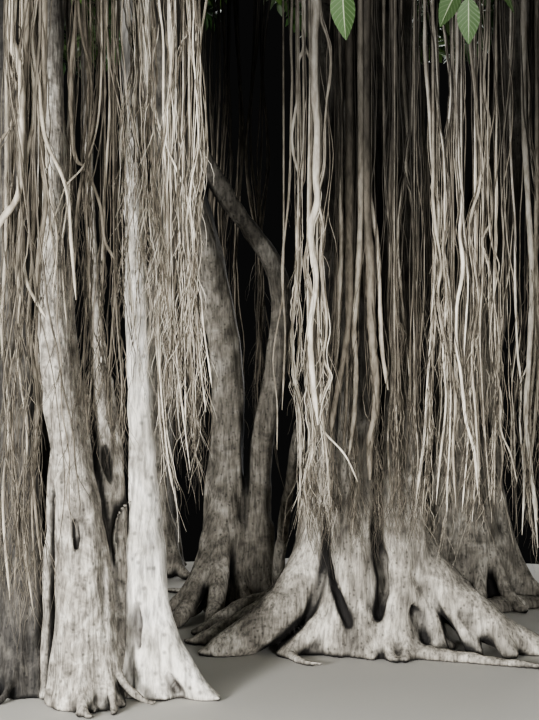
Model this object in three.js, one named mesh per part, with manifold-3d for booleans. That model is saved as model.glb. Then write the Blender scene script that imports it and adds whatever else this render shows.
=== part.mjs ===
// A rooted banyan: a fluted trunk, prop stems, boughs, curtains of hanging roots and a domed crown of leaves.
// Lengths are in millimetres, +Z is up, and the origin is on the ground under the trunk. Plan angles are in
// degrees, counter-clockwise from +X, and -Y is the side that the photograph shows.
import * as THREE from 'three';
import { mergeVertices } from 'three/addons/utils/BufferGeometryUtils.js';
import Module from 'manifold-3d';

const wasm = await Module();
wasm.setup();

// Driving sizes of the whole tree.
const FORK_HEIGHT = 3200; // where the boughs start to leave the trunk
const BOLE_TOP = 3460; // the trunk's own flat top, under the leader
const TRUNK_AXIS = [-40, 140]; // plan place of the main bole
const UNDERGROUND = 90; // how far a limb runs on below the ground before the flat cut
const CLEARANCE = 0.3; // gap where one piece meets another
const SMALL_DETAIL = 0.3; // edges and steps below this size are left out of a joined solid
const GOLDEN_ANGLE = Math.PI * (3 - Math.sqrt(5));
const STEM_SIDES = 7;
const BOUGH_SIDES = 6;
const LEG_SIDES = 5;
const TWIG_SIDES = 3;

// Trunk: the main bole and the boles that fused with it, as foot, head, top and radii of each.
const MAIN_BOLE = {
  foot: TRUNK_AXIS, head: TRUNK_AXIS, top: BOLE_TOP, foot_r: 320, waist_r: 190, head_r: 260,
};
const SIDE_BOLES = [
  { foot: [-290, -110], head: [-210, 0], top: 2900, foot_r: 160, waist_r: 84, head_r: 62 },
  { foot: [-105, -190], head: [-70, -80], top: 3380, foot_r: 120, waist_r: 70, head_r: 60 },
  { foot: [160, -150], head: [110, -20], top: 3100, foot_r: 165, waist_r: 86, head_r: 62 },
  { foot: [120, 360], head: [80, 290], top: 3200, foot_r: 130, waist_r: 80, head_r: 60 },
];
// Buttress roots of the trunk, each from a start on the bole to its end on the ground.
const TRUNK_LEGS = [
  { from: [-350, -120], to: [-660, -350], rise: 760, radius: 108 },
  { from: [-310, -190], to: [-450, -580], rise: 600, radius: 84 },
  { from: [-180, -240], to: [-220, -610], rise: 560, radius: 64 },
  { from: [-60, -250], to: [-20, -580], rise: 540, radius: 54 },
  { from: [110, -220], to: [80, -590], rise: 580, radius: 66 },
  { from: [190, -230], to: [290, -580], rise: 520, radius: 58 },
  { from: [240, -180], to: [620, -430], rise: 720, radius: 102 },
  { from: [240, 60], to: [760, 60], rise: 600, radius: 84 },
  { from: [190, 320], to: [560, 720], rise: 680, radius: 92 },
  { from: [-40, 360], to: [-20, 900], rise: 700, radius: 92 },
  { from: [-260, 260], to: [-600, 600], rise: 660, radius: 88 },
  { from: [-270, 60], to: [-720, 110], rise: 560, radius: 78 },
];
// Long roots that lie half sunk along the ground: start, bend and end, and the radius at the start.
const SURFACE_ROOTS = [
  { path: [[160, -300], [460, -480], [980, -860]], radius: 78 },
  { path: [[-430, -300], [-300, -700], [160, -900]], radius: 62 },
  { path: [[-480, 20], [-760, -120], [-1060, -80]], radius: 60 },
  { path: [[440, 560], [980, 900], [1500, 1000]], radius: 84 },
  { path: [[-380, 520], [-760, 1150], [-1300, 1420]], radius: 84 },
];

// Prop stems: plan place of foot, waist and head, radii, the height of the waist, the bough that each one
// carries, and its buttress roots as [plan angle, reach, radius].
const PROP_STEMS = [
  {
    name: 'stem_left_leaning', bough: 0, foot: [-1245, -980], knee: [-1385, -985], head: [-1400, -940],
    foot_r: 122, waist_r: 40, head_r: 40, waist: 1480,
    legs: [[325, 250, 56], [275, 260, 60], [235, 240, 56], [195, 250, 56], [90, 240, 60]],
  },
  {
    name: 'stem_left_bright', bough: 0, foot: [-1010, -830], knee: [-1050, -820], head: [-1120, -735],
    foot_r: 100, waist_r: 34, head_r: 28, waist: 1500,
    legs: [[338, 330, 58], [285, 220, 48], [245, 200, 44], [70, 330, 54]],
  },
  {
    name: 'stem_left_edge', bough: 0, foot: [-1560, -800], knee: [-1570, -860], head: [-1600, -1065],
    foot_r: 100, waist_r: 56, head_r: 42, waist: 1250,
    legs: [[290, 200, 46], [235, 230, 50], [170, 260, 54], [80, 240, 48]],
  },
  {
    name: 'stem_inner', bough: 8, foot: [-740, 800], knee: [-735, 800], head: [-1340, 462],
    foot_r: 190, waist_r: 118, head_r: 104, waist: 1650,
    legs: [[240, 620, 80], [262, 660, 74], [300, 300, 62], [180, 340, 74], [60, 300, 76]],
    slim: {
      foot: [-560, 760], knee: [-445, 740], head: [-960, 660], top: 2640,
      foot_r: 96, waist_r: 56, head_r: 60, waist: 1850,
    },
  },
  {
    name: 'stem_right_rear', bough: 5, foot: [650, 1090], knee: [690, 1080], head: [1040, 1080],
    foot_r: 235, waist_r: 150, head_r: 118, waist: 1500,
    legs: [[245, 300, 70], [275, 320, 62], [305, 350, 66], [345, 430, 84], [50, 380, 84], [140, 320, 76]],
  },
  {
    name: 'stem_right_far', bough: 4, foot: [1330, -60], knee: [1340, -80], head: [1330, -130],
    foot_r: 120, waist_r: 62, head_r: 54, waist: 1350,
    legs: [[250, 280, 60], [330, 320, 62], [60, 300, 60], [150, 280, 60]],
  },
  {
    name: 'stem_left_outer', bough: 0, foot: [-2250, -1300], knee: [-2230, -1290], head: [-2170, -1330],
    foot_r: 120, waist_r: 64, head_r: 52, waist: 1300,
    legs: [[200, 320, 64], [265, 300, 60], [330, 280, 58], [80, 300, 62]],
  },
  {
    name: 'stem_left_rear', bough: 8, foot: [-2230, 760], knee: [-2240, 740], head: [-2200, 740],
    foot_r: 140, waist_r: 80, head_r: 64, waist: 1400,
    legs: [[190, 350, 70], [260, 330, 66], [330, 290, 60], [80, 330, 68]],
  },
  {
    name: 'stem_rear_left', bough: 7, foot: [-1240, 1930], knee: [-1220, 1920], head: [-1130, 1890],
    foot_r: 130, waist_r: 74, head_r: 60, waist: 1400,
    legs: [[160, 330, 66], [240, 290, 60], [320, 290, 60], [70, 330, 64]],
  },
  {
    name: 'stem_rear_middle', bough: 6, foot: [260, 2200], knee: [240, 2180], head: [240, 2120],
    foot_r: 140, waist_r: 84, head_r: 64, waist: 1400,
    legs: [[20, 320, 66], [110, 330, 66], [200, 300, 62], [285, 320, 64]],
  },
  {
    name: 'stem_rear_right', bough: 5, foot: [1860, 1620], knee: [1850, 1600], head: [1800, 1560],
    foot_r: 136, waist_r: 76, head_r: 62, waist: 1400,
    legs: [[20, 340, 68], [110, 320, 64], [210, 290, 60], [300, 320, 64]],
  },
  {
    name: 'stem_front_right', bough: 3, foot: [1330, -1580], knee: [1320, -1560], head: [1330, -1500],
    foot_r: 112, waist_r: 56, head_r: 48, waist: 1300,
    legs: [[310, 320, 60], [30, 280, 54], [130, 270, 54], [230, 280, 58]],
  },
];

// Outer boughs: plan angle near the trunk and at the tip, with the reach and height of each mass of leaves.
const OUTER_BOUGHS = [
  { angle: 217, tip: 205, reach: 4300, height: 4900 },
  { angle: 240, tip: 243, reach: 4250, height: 4760 },
  { angle: 271, tip: 281, reach: 4100, height: 4940 },
  { angle: 308, tip: 319, reach: 4300, height: 4800 },
  { angle: 350, tip: 357, reach: 4500, height: 5000 },
  { angle: 42, tip: 37, reach: 4350, height: 4860 },
  { angle: 82, tip: 78, reach: 4250, height: 4980 },
  { angle: 122, tip: 120, reach: 4400, height: 4820 },
  { angle: 165, tip: 163, reach: 4500, height: 4960 },
].map((bough, i) => ({
  ...bough,
  name: `bough_outer_${i + 1}`,
  start: FORK_HEIGHT + (i % 2) * 110,
  mass: [1950, 1950, 1250],
}));
const OUTER_START_R = 130;
const OUTER_TIP_R = 62;

// Middle boughs rise from the outer ones and carry the shoulder of the crown.
const MIDDLE_BOUGHS = [
  { tip: 224, parent: 0, reach: 2250, height: 6600 },
  { tip: 298, parent: 2, reach: 2200, height: 6500 },
  { tip: 10, parent: 4, reach: 2300, height: 6650 },
  { tip: 84, parent: 6, reach: 2200, height: 6550 },
  { tip: 152, parent: 8, reach: 2300, height: 6700 },
].map((bough, i) => ({ ...bough, name: `bough_middle_${i + 1}`, at: 0.36, mass: [1800, 1800, 1300] }));
const MIDDLE_START_R = 84;
const MIDDLE_TIP_R = 48;

// Leaders rise from the top of the trunk and carry the top of the crown.
const LEADERS = [
  { tip: 60, start: BOLE_TOP + CLEARANCE, radius: 165, reach: 820, height: 8000 },
  { tip: 182, start: 4500, radius: 92, reach: 900, height: 7850 },
  { tip: 300, start: 4800, radius: 92, reach: 860, height: 7920 },
].map((bough, i) => ({ ...bough, name: `leader_${i + 1}`, mass: [1560, 1560, 1180] }));
const LEADER_TIP_R = 52;

// Leaf masses. Each flat leaf stands for a spray of leaves.
const PRIMARY_TWIGS = 4; // twigs of each mass
const TWIG_REACH = 0.52; // share of the way to the mass's outline that a twig reaches
const SIDE_LEAVES = 3; // leaves round each twig, besides the one at its end
const LEAF_LEAN = 0.75; // how far a side leaf leans forward along its twig
const SPRAY_LENGTH = 1300;
const SHORTEST_SPRAY = 0.36; // smallest share of the full length that a leaf may be fitted at
const SHORTENING = 0.07; // step by which a leaf that doesn't fit is made shorter
const SPRAY_WIDTH_SHARE = 0.72;
const SPRAY_THICKNESS = 26;
const LEAF_SINK = 5; // how far a leaf's root is sunk past the middle of its twig
const END_LEAF_SINK = 12;
const LEAF_DETAIL = 2;
const LEAF_ROLL = 0.9; // spread of the roll of a leaf about its midrib, in radians
const STEM_TAPER = 0.42; // thickness of a mass's stem at its end, as a share of the bough's tip
const TWIG_START_R = 24;
const TWIG_TIP_R = 13;

// Curtains of hanging roots: the bough and the share along it that carries the neck, the two ends of the row
// in plan, the height of the row, the lowest tips, and the number of root bundles.
const CURTAINS = [
  {
    name: 'roots_far_left', bough: 1, at: 0.95, top: 3300, low: 560, count: 8,
    row: [[-1620, -1840], [-1215, -1930]],
  },
  {
    name: 'roots_left', bough: 1, at: 0.78, top: 3300, low: 900, count: 6,
    row: [[-1250, -1480], [-1020, -1530]],
  },
  {
    name: 'roots_left_front', bough: 1, at: 0.62, top: 3300, low: 930, count: 8,
    row: [[-1080, -1280], [-740, -1330]],
  },
  {
    name: 'roots_middle', bough: 2, at: 0.36, top: 3300, low: 790, count: 5,
    row: [[-445, -690], [-205, -715]],
  },
  {
    name: 'roots_trunk_front', bough: 2, at: 0.22, top: 3240, low: 640, count: 6,
    row: [[-190, -400], [120, -420]],
  },
  {
    name: 'roots_right_front', bough: 2, at: 0.4, top: 3300, low: 620, count: 8,
    row: [[165, -680], [560, -720]],
  },
  {
    name: 'roots_right', bough: 4, at: 0.4, top: 3300, low: 400, count: 5,
    row: [[630, 60], [1000, 120]],
  },
  {
    name: 'roots_right_outer', bough: 3, at: 0.66, top: 3300, low: 700, count: 6,
    row: [[860, -1090], [1260, -1330]],
  },
  {
    name: 'roots_rear_right', bough: 6, at: 0.64, top: 3780, low: 500, count: 7,
    row: [[-60, 1620], [560, 1700]],
  },
  {
    name: 'roots_rear', bough: 7, at: 0.62, top: 3740, low: 450, count: 7,
    row: [[-1120, 1380], [-480, 1660]],
  },
  {
    name: 'roots_rear_left', bough: 8, at: 0.66, top: 3600, low: 520, count: 7,
    row: [[-1860, 180], [-1600, 820]],
  },
];
const ROW_R = 40; // radius of the twig that a curtain hangs from
const ROW_SAG = 20; // how far that twig wanders up and down
const BUNDLE_R = 25; // radius of one bundle of hanging roots at its top
const BUNDLE_TIP_R = 8;
const BUNDLE_SWAY = 95; // how far a bundle wanders sideways on its way down
const SHORTEST_BUNDLE = 0.8; // length of the shortest bundle, as a share of the longest

// A low leafy twig that hangs into view in front of the trunk, with leaves of their real size: its own places
// and radius, a leaf's length, width and thickness, and the place of each leaf's root.
const LOW_TWIG = {
  bough: 2, at: 0.55, knee: [230, -1040, 3120], radius: 10, length: 190, width: 98, thickness: 4,
};
const LOW_TWIG_SPURS = [[250, -1010, 2930], [315, -1000, 2885], [470, -1000, 2990], [-232, -1700, 2690]];

const bark = new THREE.MeshStandardMaterial({ color: 0x9c968d, roughness: 0.86, metalness: 0 });
const hangingRoot = new THREE.MeshStandardMaterial({ color: 0xa39a8b, roughness: 0.82, metalness: 0 });
const leafGreen = new THREE.MeshStandardMaterial({ color: 0x56683f, roughness: 0.55, metalness: 0 });

const radians = THREE.MathUtils.degToRad;
const mix = THREE.MathUtils.lerp;
const point = (x, y, z) => new THREE.Vector3(x, y, z);

// A place by its plan angle and reach from the trunk, and its height.
function polar(angle, reach, height) {
  const turn = radians(angle);
  return point(TRUNK_AXIS[0] + reach * Math.cos(turn), TRUNK_AXIS[1] + reach * Math.sin(turn), height);
}

// A repeatable number from 0 to 1 for a pair of whole numbers.
function jitter(seed, index) {
  const raised = Math.sin(seed * 12.9898 + index * 78.233 + 4.1) * 43758.5453;
  return raised - Math.floor(raised);
}

// The direction that a limb's section is measured from: level, and square to the limb's run in plan.
function sideOf(curve) {
  const chord = curve.getPoint(1).sub(curve.getPoint(0));
  const side = point(chord.y, -chord.x, 0);
  return side.length() < 0.05 * chord.length() ? point(1, 0, 0) : side.normalize();
}

// A closed cylinder bent along a curve. radiusAt takes the share of the way along, and extra is added all
// round.
function limbSolid(curve, radiusAt, sides, steps, extra = 0) {
  const geometry = new THREE.CylinderGeometry(1, 1, 1, sides, steps);
  geometry.deleteAttribute('normal');
  geometry.deleteAttribute('uv');
  const merged = mergeVertices(geometry);
  const place = merged.getAttribute('position');
  const side = sideOf(curve);
  for (let i = 0; i < place.count; i += 1) {
    const along = Math.min(1, Math.max(0, place.getY(i) + 0.5));
    const tangent = curve.getTangent(along);
    const across = side.clone().addScaledVector(tangent, -side.dot(tangent)).normalize();
    const third = across.clone().cross(tangent);
    const radius = radiusAt(along) + extra / Math.cos(Math.PI / sides);
    const past = along > 0 && along < 1 ? 0 : extra * Math.sign(along - 0.5);
    const onRing = curve.getPoint(along).addScaledVector(tangent, past);
    onRing.addScaledVector(across, radius * place.getX(i));
    onRing.addScaledVector(third, radius * place.getZ(i));
    place.setXYZ(i, onRing.x, onRing.y, onRing.z);
  }
  return solidOf(place.array, merged.index.array);
}

// A closed surface, as flat lists of corners and of corner numbers, as a solid for joining and cutting.
function solidOf(corners, faces) {
  const mesh = { numProp: 3, vertProperties: new Float32Array(corners), triVerts: new Uint32Array(faces) };
  return new wasm.Manifold(new wasm.Mesh(mesh));
}

// The largest body of a solid: loose scraps are dropped and sealed hollows are filled.
function largestBody(solid) {
  return solid.decompose().reduce((best, body) => (body.volume() > best.volume() ? body : best));
}

// Solids joined into one, without edges shorter than the small detail that can be left out.
const union = (solids, detail = SMALL_DETAIL) => wasm.Manifold.union(solids).asOriginal().simplify(detail);
const flatCut = (solid) => solid.trimByPlane([0, 0, 1], 0);

// A bole from below the ground to its head. It narrows from the foot to a waist and runs evenly from there.
function boleSolid(bole, extra) {
  const waistHeight = bole.waist ?? 1500;
  const knee = bole.knee ?? bole.foot.map((value, axis) => mix(value, bole.head[axis], 0.4));
  const between = (a, b, share, height) => point(mix(a[0], b[0], share), mix(a[1], b[1], share), height);
  const curve = new THREE.CatmullRomCurve3([
    between(bole.foot, knee, 0, -UNDERGROUND),
    between(bole.foot, knee, 0.14, waistHeight * 0.42),
    between(bole.foot, knee, 1, waistHeight),
    between(knee, bole.head, 0.5, mix(waistHeight, bole.top, 0.5)),
    between(knee, bole.head, 1, bole.top),
  ]);
  const radiusAt = (along) => {
    const height = curve.getPoint(along).z;
    const narrowing = THREE.MathUtils.smoothstep(height, 0, waistHeight);
    const widening = Math.max(0, (height - waistHeight) / (bole.top - waistHeight));
    return mix(mix(bole.foot_r, bole.waist_r, narrowing), bole.head_r, widening);
  };
  return limbSolid(curve, radiusAt, STEM_SIDES, 5, extra);
}

// A buttress root: down the side of the bole, then out along the ground, thinning to its end.
function legSolid(leg, extra) {
  const [from, to] = [leg.from, leg.to];
  const along = (share, height) => point(mix(from[0], to[0], share), mix(from[1], to[1], share), height);
  const curve = new THREE.CatmullRomCurve3([
    along(-0.08, leg.rise),
    along(0.16, leg.rise * 0.55),
    along(0.5, leg.rise * 0.2),
    along(1, -0.35 * leg.radius),
  ]);
  const swell = (share) => mix(0.72, 1, Math.sin(Math.PI * share));
  const radiusAt = (share) => leg.radius * swell(share) * mix(1, 0.42, share * share);
  return limbSolid(curve, radiusAt, LEG_SIDES, 2, extra);
}

// A long root that lies half sunk along the ground.
function surfaceRootSolid(root, extra) {
  const sunk = [0.2, 0.1, -0.3];
  const curve = new THREE.CatmullRomCurve3(root.path.map(([x, y], i) => point(x, y, sunk[i] * root.radius)));
  return limbSolid(curve, (share) => root.radius * mix(1, 0.32, share), LEG_SIDES, 3, extra);
}

// The trunk with its boles, buttresses and long surface roots, cut flat at the ground.
function trunkSolid(extra) {
  const boles = [MAIN_BOLE, ...SIDE_BOLES].map((bole) => boleSolid(bole, extra));
  const legs = TRUNK_LEGS.map((leg) => legSolid(leg, extra));
  const roots = SURFACE_ROOTS.map((root) => surfaceRootSolid(root, extra));
  return flatCut(union([...boles, ...legs, ...roots]));
}

// A prop stem, from its flat cut at the ground into the bough that it carries.
function propStemSolid(stem, extra) {
  const out = (angle, distance) => [
    stem.foot[0] + distance * Math.cos(radians(angle)),
    stem.foot[1] + distance * Math.sin(radians(angle)),
  ];
  const legs = stem.legs.map(([angle, reach, radius]) =>
    legSolid(
      {
        from: out(angle, stem.foot_r * 0.45),
        to: out(angle, stem.foot_r * 0.8 + reach),
        rise: stem.foot_r * 2.6 + reach * 0.7,
        radius,
      },
      extra,
    ),
  );
  const slim = stem.slim ? [boleSolid(stem.slim, extra)] : [];
  const seat = nearestAbove(OUTER_CURVES[stem.bough], stem.head);
  const bole = boleSolid({ ...stem, head: [seat.x, seat.y], top: seat.z }, extra);
  return flatCut(union([bole, ...slim, ...legs]));
}

// The place on a bough's centre line that passes nearest above a point in plan.
function nearestAbove(curve, [x, y]) {
  const away = (p) => Math.hypot(p.x - x, p.y - y);
  return curve.getPoints(80).reduce((best, p) => (away(p) < away(best) ? p : best));
}

// An outer bough: out of the trunk and up in a long low arch to the edge of its mass of leaves.
function outerCurve({ angle, tip, start, reach, height, mass }) {
  const tipReach = reach - mass[0] * 0.8;
  const tipHeight = height - mass[2] * 0.46;
  return new THREE.CatmullRomCurve3([
    polar(angle, 60, start),
    polar(angle, tipReach * 0.3, mix(start, tipHeight, 0.44)),
    polar(angle, tipReach * 0.68, mix(start, tipHeight, 0.8)),
    polar(mix(angle, tip, 0.6), tipReach, tipHeight),
  ]);
}

// A middle bough: from the inside of an outer bough, steeply up into its mass.
function middleCurve({ tip: angle, parent, at, reach, height, mass }) {
  const root = OUTER_CURVES[parent].getPoint(at);
  const tip = polar(angle, reach - mass[0] * 0.45, height - mass[2] * 0.85);
  const elbow = root.clone().lerp(tip, 0.5);
  return new THREE.CatmullRomCurve3([root, point(elbow.x * 1.12, elbow.y * 1.12, elbow.z - 60), tip]);
}

// A leader: the first stands on the trunk, the others leave it on the way up.
function leaderCurve({ tip: angle, start, reach, height, mass }, i) {
  const root = i === 0 ? point(TRUNK_AXIS[0], TRUNK_AXIS[1], start) : leaderPlace(start);
  const tip = polar(angle, reach * 0.8, height - mass[2] * 0.92);
  const elbow = root.clone().lerp(tip, 0.5);
  const upright = point(mix(elbow.x, root.x, 0.35), mix(elbow.y, root.y, 0.35), elbow.z);
  return new THREE.CatmullRomCurve3([root, upright, tip]);
}

// The first leader's centre at a height.
function leaderPlace(height) {
  const off = (p) => Math.abs(p.z - height);
  const places = leaderCurve(LEADERS[0], 0).getPoints(40);
  return places.reduce((best, p) => (off(p) < off(best) ? p : best));
}

const taper = (from, to) => (share) => mix(from, to, Math.sqrt(share));
const OUTER_CURVES = OUTER_BOUGHS.map(outerCurve);
const MIDDLE_CURVES = MIDDLE_BOUGHS.map(middleCurve);
const LEADER_CURVES = LEADERS.map(leaderCurve);

// Every mass of leaves: its centre, half sizes, and the bough tip that it grows from.
const MASSES = [
  ...OUTER_BOUGHS.map((bough, i) => ({ bough, curve: OUTER_CURVES[i], tip_r: OUTER_TIP_R })),
  ...MIDDLE_BOUGHS.map((bough, i) => ({ bough, curve: MIDDLE_CURVES[i], tip_r: MIDDLE_TIP_R })),
  ...LEADERS.map((bough, i) => ({ bough, curve: LEADER_CURVES[i], tip_r: LEADER_TIP_R })),
].map(({ bough, curve, tip_r }, i) => ({
  name: bough.name.replace('bough', 'leaves').replace('leader', 'leaves_top'),
  seed: i + 1,
  centre: polar(bough.tip, bough.reach, bough.height),
  half: point(...bough.mass),
  tip: curve.getPoint(1).addScaledVector(curve.getTangent(1), CLEARANCE),
  heading: curve.getTangent(1),
  tip_r,
}));

// How far out a point lies in a mass: 0 at its centre, 1 on its outline.
const depthIn = (mass, p) => p.clone().sub(mass.centre).divide(mass.half).length();

// True where a point lies in a mass's own space, clear of the outline and of every other mass's space.
function inOwnSpace(mass, p, margin = 0.02) {
  const own = depthIn(mass, p);
  return own < 1 && MASSES.every((other) => other === mass || depthIn(other, p) > own + margin);
}

// The curve of a mass's stem, from the bough's tip to the middle of the mass.
function stemCurve(mass) {
  const elbow = mass.tip.clone().addScaledVector(mass.heading, 0.4 * mass.tip.distanceTo(mass.centre));
  return new THREE.QuadraticBezierCurve3(mass.tip, elbow, mass.centre);
}

// A primary twig's curve, from the stem part of the way to the outline, in directions spread evenly by the
// golden angle.
function primaryCurve(mass, stem, index) {
  const level = 1 - (2 * (index + 0.5)) / PRIMARY_TWIGS;
  const turn = index * GOLDEN_ANGLE + mass.seed;
  const flat = Math.sqrt(1 - level * level);
  const outward = point(flat * Math.cos(turn), flat * Math.sin(turn), level).multiply(mass.half);
  const start = stem.getPoint(0.35 + 0.62 * ((index * 0.618) % 1));
  let reach = 0.97;
  while (reach > 0.3 && !inOwnSpace(mass, mass.centre.clone().addScaledVector(outward, reach))) reach -= 0.03;
  const end = mass.centre.clone().addScaledVector(outward, reach * TWIG_REACH);
  const elbow = start.clone().lerp(end, 0.5);
  elbow.z += 0.1 * start.distanceTo(end);
  return new THREE.QuadraticBezierCurve3(start, elbow, end);
}

// A flat leaf of eight faces with its root at a point, as long as asked along its heading.
function leafSolid(root, heading, length, width, thickness, roll) {
  const geometry = new THREE.OctahedronGeometry(0.5);
  geometry.deleteAttribute('normal');
  geometry.deleteAttribute('uv');
  const merged = mergeVertices(geometry);
  const across = point(0, 0, 1).cross(heading).normalize().applyAxisAngle(heading, roll);
  const frame = new THREE.Matrix4().makeBasis(heading, across, heading.clone().cross(across));
  merged.scale(length, width, thickness).translate(0.5 * length, 0, 0).applyMatrix4(frame);
  merged.translate(root.x, root.y, root.z);
  return solidOf(merged.getAttribute('position').array, merged.index.array);
}

// The roots and headings of one primary twig's leaves: a ring that spreads out from the outer half of the
// twig, and one leaf at its end.
function leafPlaces(mass, curve, index) {
  const [elbow, end] = [curve.getPoint(0.5), curve.getPoint(1)];
  const tangent = end.clone().sub(elbow).normalize();
  const level = point(-tangent.y, tangent.x, 0).normalize();
  const ring = Array.from({ length: SIDE_LEAVES }, (_, leaf) => {
    const turn = (2 * Math.PI * leaf) / SIDE_LEAVES + jitter(mass.seed, index) * 2;
    const outward = level.clone().applyAxisAngle(tangent, turn);
    const root = elbow.clone().lerp(end, mix(0.15, 0.75, leaf / SIDE_LEAVES));
    return { root, heading: outward.addScaledVector(tangent, LEAF_LEAN).normalize() };
  });
  return [...ring, { root: end.clone().addScaledVector(tangent, -END_LEAF_SINK), heading: tangent }];
}

// The corners of a solid.
function cornersOf(solid) {
  const flat = new THREE.BufferAttribute(solid.getMesh().vertProperties, 3);
  return Array.from({ length: flat.count }, (_, i) => point(0, 0, 0).fromBufferAttribute(flat, i));
}

// The longest leaf at a place on a twig that keeps to the mass's own space, clear of the limbs and of the
// leaves placed before it, or nothing.
function fittedLeaf(mass, limbs, placed, { root, heading }, roll) {
  for (let share = 1; share >= SHORTEST_SPRAY; share -= SHORTENING) {
    const length = SPRAY_LENGTH * share;
    const sunk = root.clone().addScaledVector(heading, -LEAF_SINK);
    const leaf = leafSolid(sunk, heading, length, length * SPRAY_WIDTH_SHARE, SPRAY_THICKNESS, roll);
    const clear = (others) => others.every((other) => leaf.intersect(other).isEmpty());
    if (cornersOf(leaf).every((p) => inOwnSpace(mass, p)) && clear([limbs, ...placed])) return leaf;
  }
  return null;
}

// A mass of leaves: a stem, twigs spread evenly through its space, and leaves sunk into the twigs.
function massSolid(mass, limbs) {
  const stem = stemCurve(mass);
  const twigs = [limbSolid(stem, taper(mass.tip_r * 0.8, mass.tip_r * STEM_TAPER), LEG_SIDES, 2)];
  const leaves = [];
  for (let index = 0; index < PRIMARY_TWIGS; index += 1) {
    const curve = primaryCurve(mass, stem, index);
    const twig = limbSolid(curve, taper(TWIG_START_R, TWIG_TIP_R), TWIG_SIDES, 2);
    if (!twig.intersect(limbs).isEmpty()) continue;
    twigs.push(twig);
    for (const [leaf, place] of leafPlaces(mass, curve, index).entries()) {
      const roll = (jitter(mass.seed, index * 7 + leaf) - 0.5) * LEAF_ROLL;
      const fitted = fittedLeaf(mass, limbs, leaves, place, roll);
      if (fitted) leaves.push(fitted);
    }
  }
  return largestBody(union([...twigs, ...leaves], LEAF_DETAIL));
}

// A curtain of hanging roots: a neck from the bough, the row that it hangs from, and wandering bundles.
function curtainSolid(curtain, seed, extra) {
  const [a, b] = curtain.row;
  const sag = (share) => ROW_SAG * Math.cos(2 * Math.PI * share);
  const row = (share) => point(mix(a[0], b[0], share), mix(a[1], b[1], share), curtain.top - sag(share));
  const rowCurve = new THREE.CatmullRomCurve3([-0.04, 0.35, 0.7, 1.04].map(row));
  const held = OUTER_CURVES[curtain.bough].getPoint(curtain.at);
  const middle = rowCurve.getPoint(0.5);
  const crook = held.clone().lerp(middle, 0.5).add(point(0, 0, 30));
  const neck = new THREE.CatmullRomCurve3([held, crook, middle]);
  const solids = [
    limbSolid(rowCurve, () => ROW_R, LEG_SIDES, 3, extra),
    limbSolid(neck, taper(ROW_R * 1.1, ROW_R * 0.7), LEG_SIDES, 2, extra),
  ];
  for (let index = 0; index < curtain.count; index += 1) {
    const share = (index + 0.5 + 0.5 * (jitter(seed, index) - 0.5)) / curtain.count;
    const drop = (curtain.top - curtain.low) * mix(SHORTEST_BUNDLE, 1, jitter(seed, index + 20));
    const sway = (level) => (jitter(seed, index * 5 + level) - 0.5) * BUNDLE_SWAY;
    const head = row(share);
    const hang = [0, 0.34, 0.68, 1].map((fall, level) =>
      point(head.x + sway(level) * fall, head.y + sway(level + 40) * fall * 1.3, head.z - drop * fall),
    );
    const radiusAt = (along) => mix(BUNDLE_R, BUNDLE_TIP_R, along);
    solids.push(limbSolid(new THREE.CatmullRomCurve3(hang), radiusAt, TWIG_SIDES, 2, extra));
  }
  return union(solids);
}

// The low leafy twig: one stalk from the bough, a spur to each leaf, and leaves of their real size.
function lowTwigSolid(extra) {
  const held = OUTER_CURVES[LOW_TWIG.bough].getPoint(LOW_TWIG.at);
  const knee = point(...LOW_TWIG.knee);
  const stalk = new THREE.CatmullRomCurve3([held, held.clone().lerp(knee, 0.6).add(point(-40, 0, 60)), knee]);
  const solids = [limbSolid(stalk, taper(LOW_TWIG.radius * 1.5, LOW_TWIG.radius), TWIG_SIDES, 3, extra)];
  LOW_TWIG_SPURS.forEach(([x, y, z], index) => {
    const end = point(x, y, z);
    const spur = new THREE.QuadraticBezierCurve3(knee, knee.clone().lerp(end, 0.6).add(point(0, 0, 90)), end);
    solids.push(limbSolid(spur, taper(LOW_TWIG.radius * 0.8, LOW_TWIG.radius * 0.4), TWIG_SIDES, 2, extra));
    const heading = point(0.25 * (jitter(9, index) - 0.5), 0.12, -1).normalize();
    const { length, width, thickness } = LOW_TWIG;
    const sunk = end.addScaledVector(heading, -LEAF_SINK);
    solids.push(leafSolid(sunk, heading, length, width, thickness, 1.2 + 0.5 * index));
  });
  return union(solids, 0.1 * LOW_TWIG.thickness);
}

// Every limb and curtain in building order: each later one is cut clear of the earlier ones that it meets.
const limbs = [
  ['trunk', bark, trunkSolid],
  ...OUTER_BOUGHS.map(({ name }, i) => [
    name,
    bark,
    (extra) => limbSolid(OUTER_CURVES[i], taper(OUTER_START_R, OUTER_TIP_R), BOUGH_SIDES, 5, extra),
  ]),
  ...LEADERS.map(({ name, radius }, i) => [
    name,
    bark,
    (extra) => limbSolid(LEADER_CURVES[i], taper(radius, LEADER_TIP_R), BOUGH_SIDES, 3, extra),
  ]),
  ...MIDDLE_BOUGHS.map(({ name }, i) => [
    name,
    bark,
    (extra) => limbSolid(MIDDLE_CURVES[i], taper(MIDDLE_START_R, MIDDLE_TIP_R), BOUGH_SIDES, 3, extra),
  ]),
  ...PROP_STEMS.map((stem) => [stem.name, bark, (extra) => propStemSolid(stem, extra)]),
  ...CURTAINS.map((curtain, i) => [
    curtain.name,
    hangingRoot,
    (extra) => curtainSolid(curtain, i + 1, extra),
  ]),
  ['twig_low_front', leafGreen, lowTwigSolid],
];

const tree = new THREE.Group();

// Adds a solid to the tree as a named mesh.
function addNode(name, solid, material) {
  const { vertProperties, triVerts } = solid.getMesh();
  const geometry = new THREE.BufferGeometry();
  geometry.setAttribute('position', new THREE.BufferAttribute(vertProperties, 3));
  geometry.setIndex(new THREE.BufferAttribute(triVerts, 1));
  geometry.computeVertexNormals();
  const mesh = new THREE.Mesh(geometry, material);
  mesh.name = name;
  tree.add(mesh);
}

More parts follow.
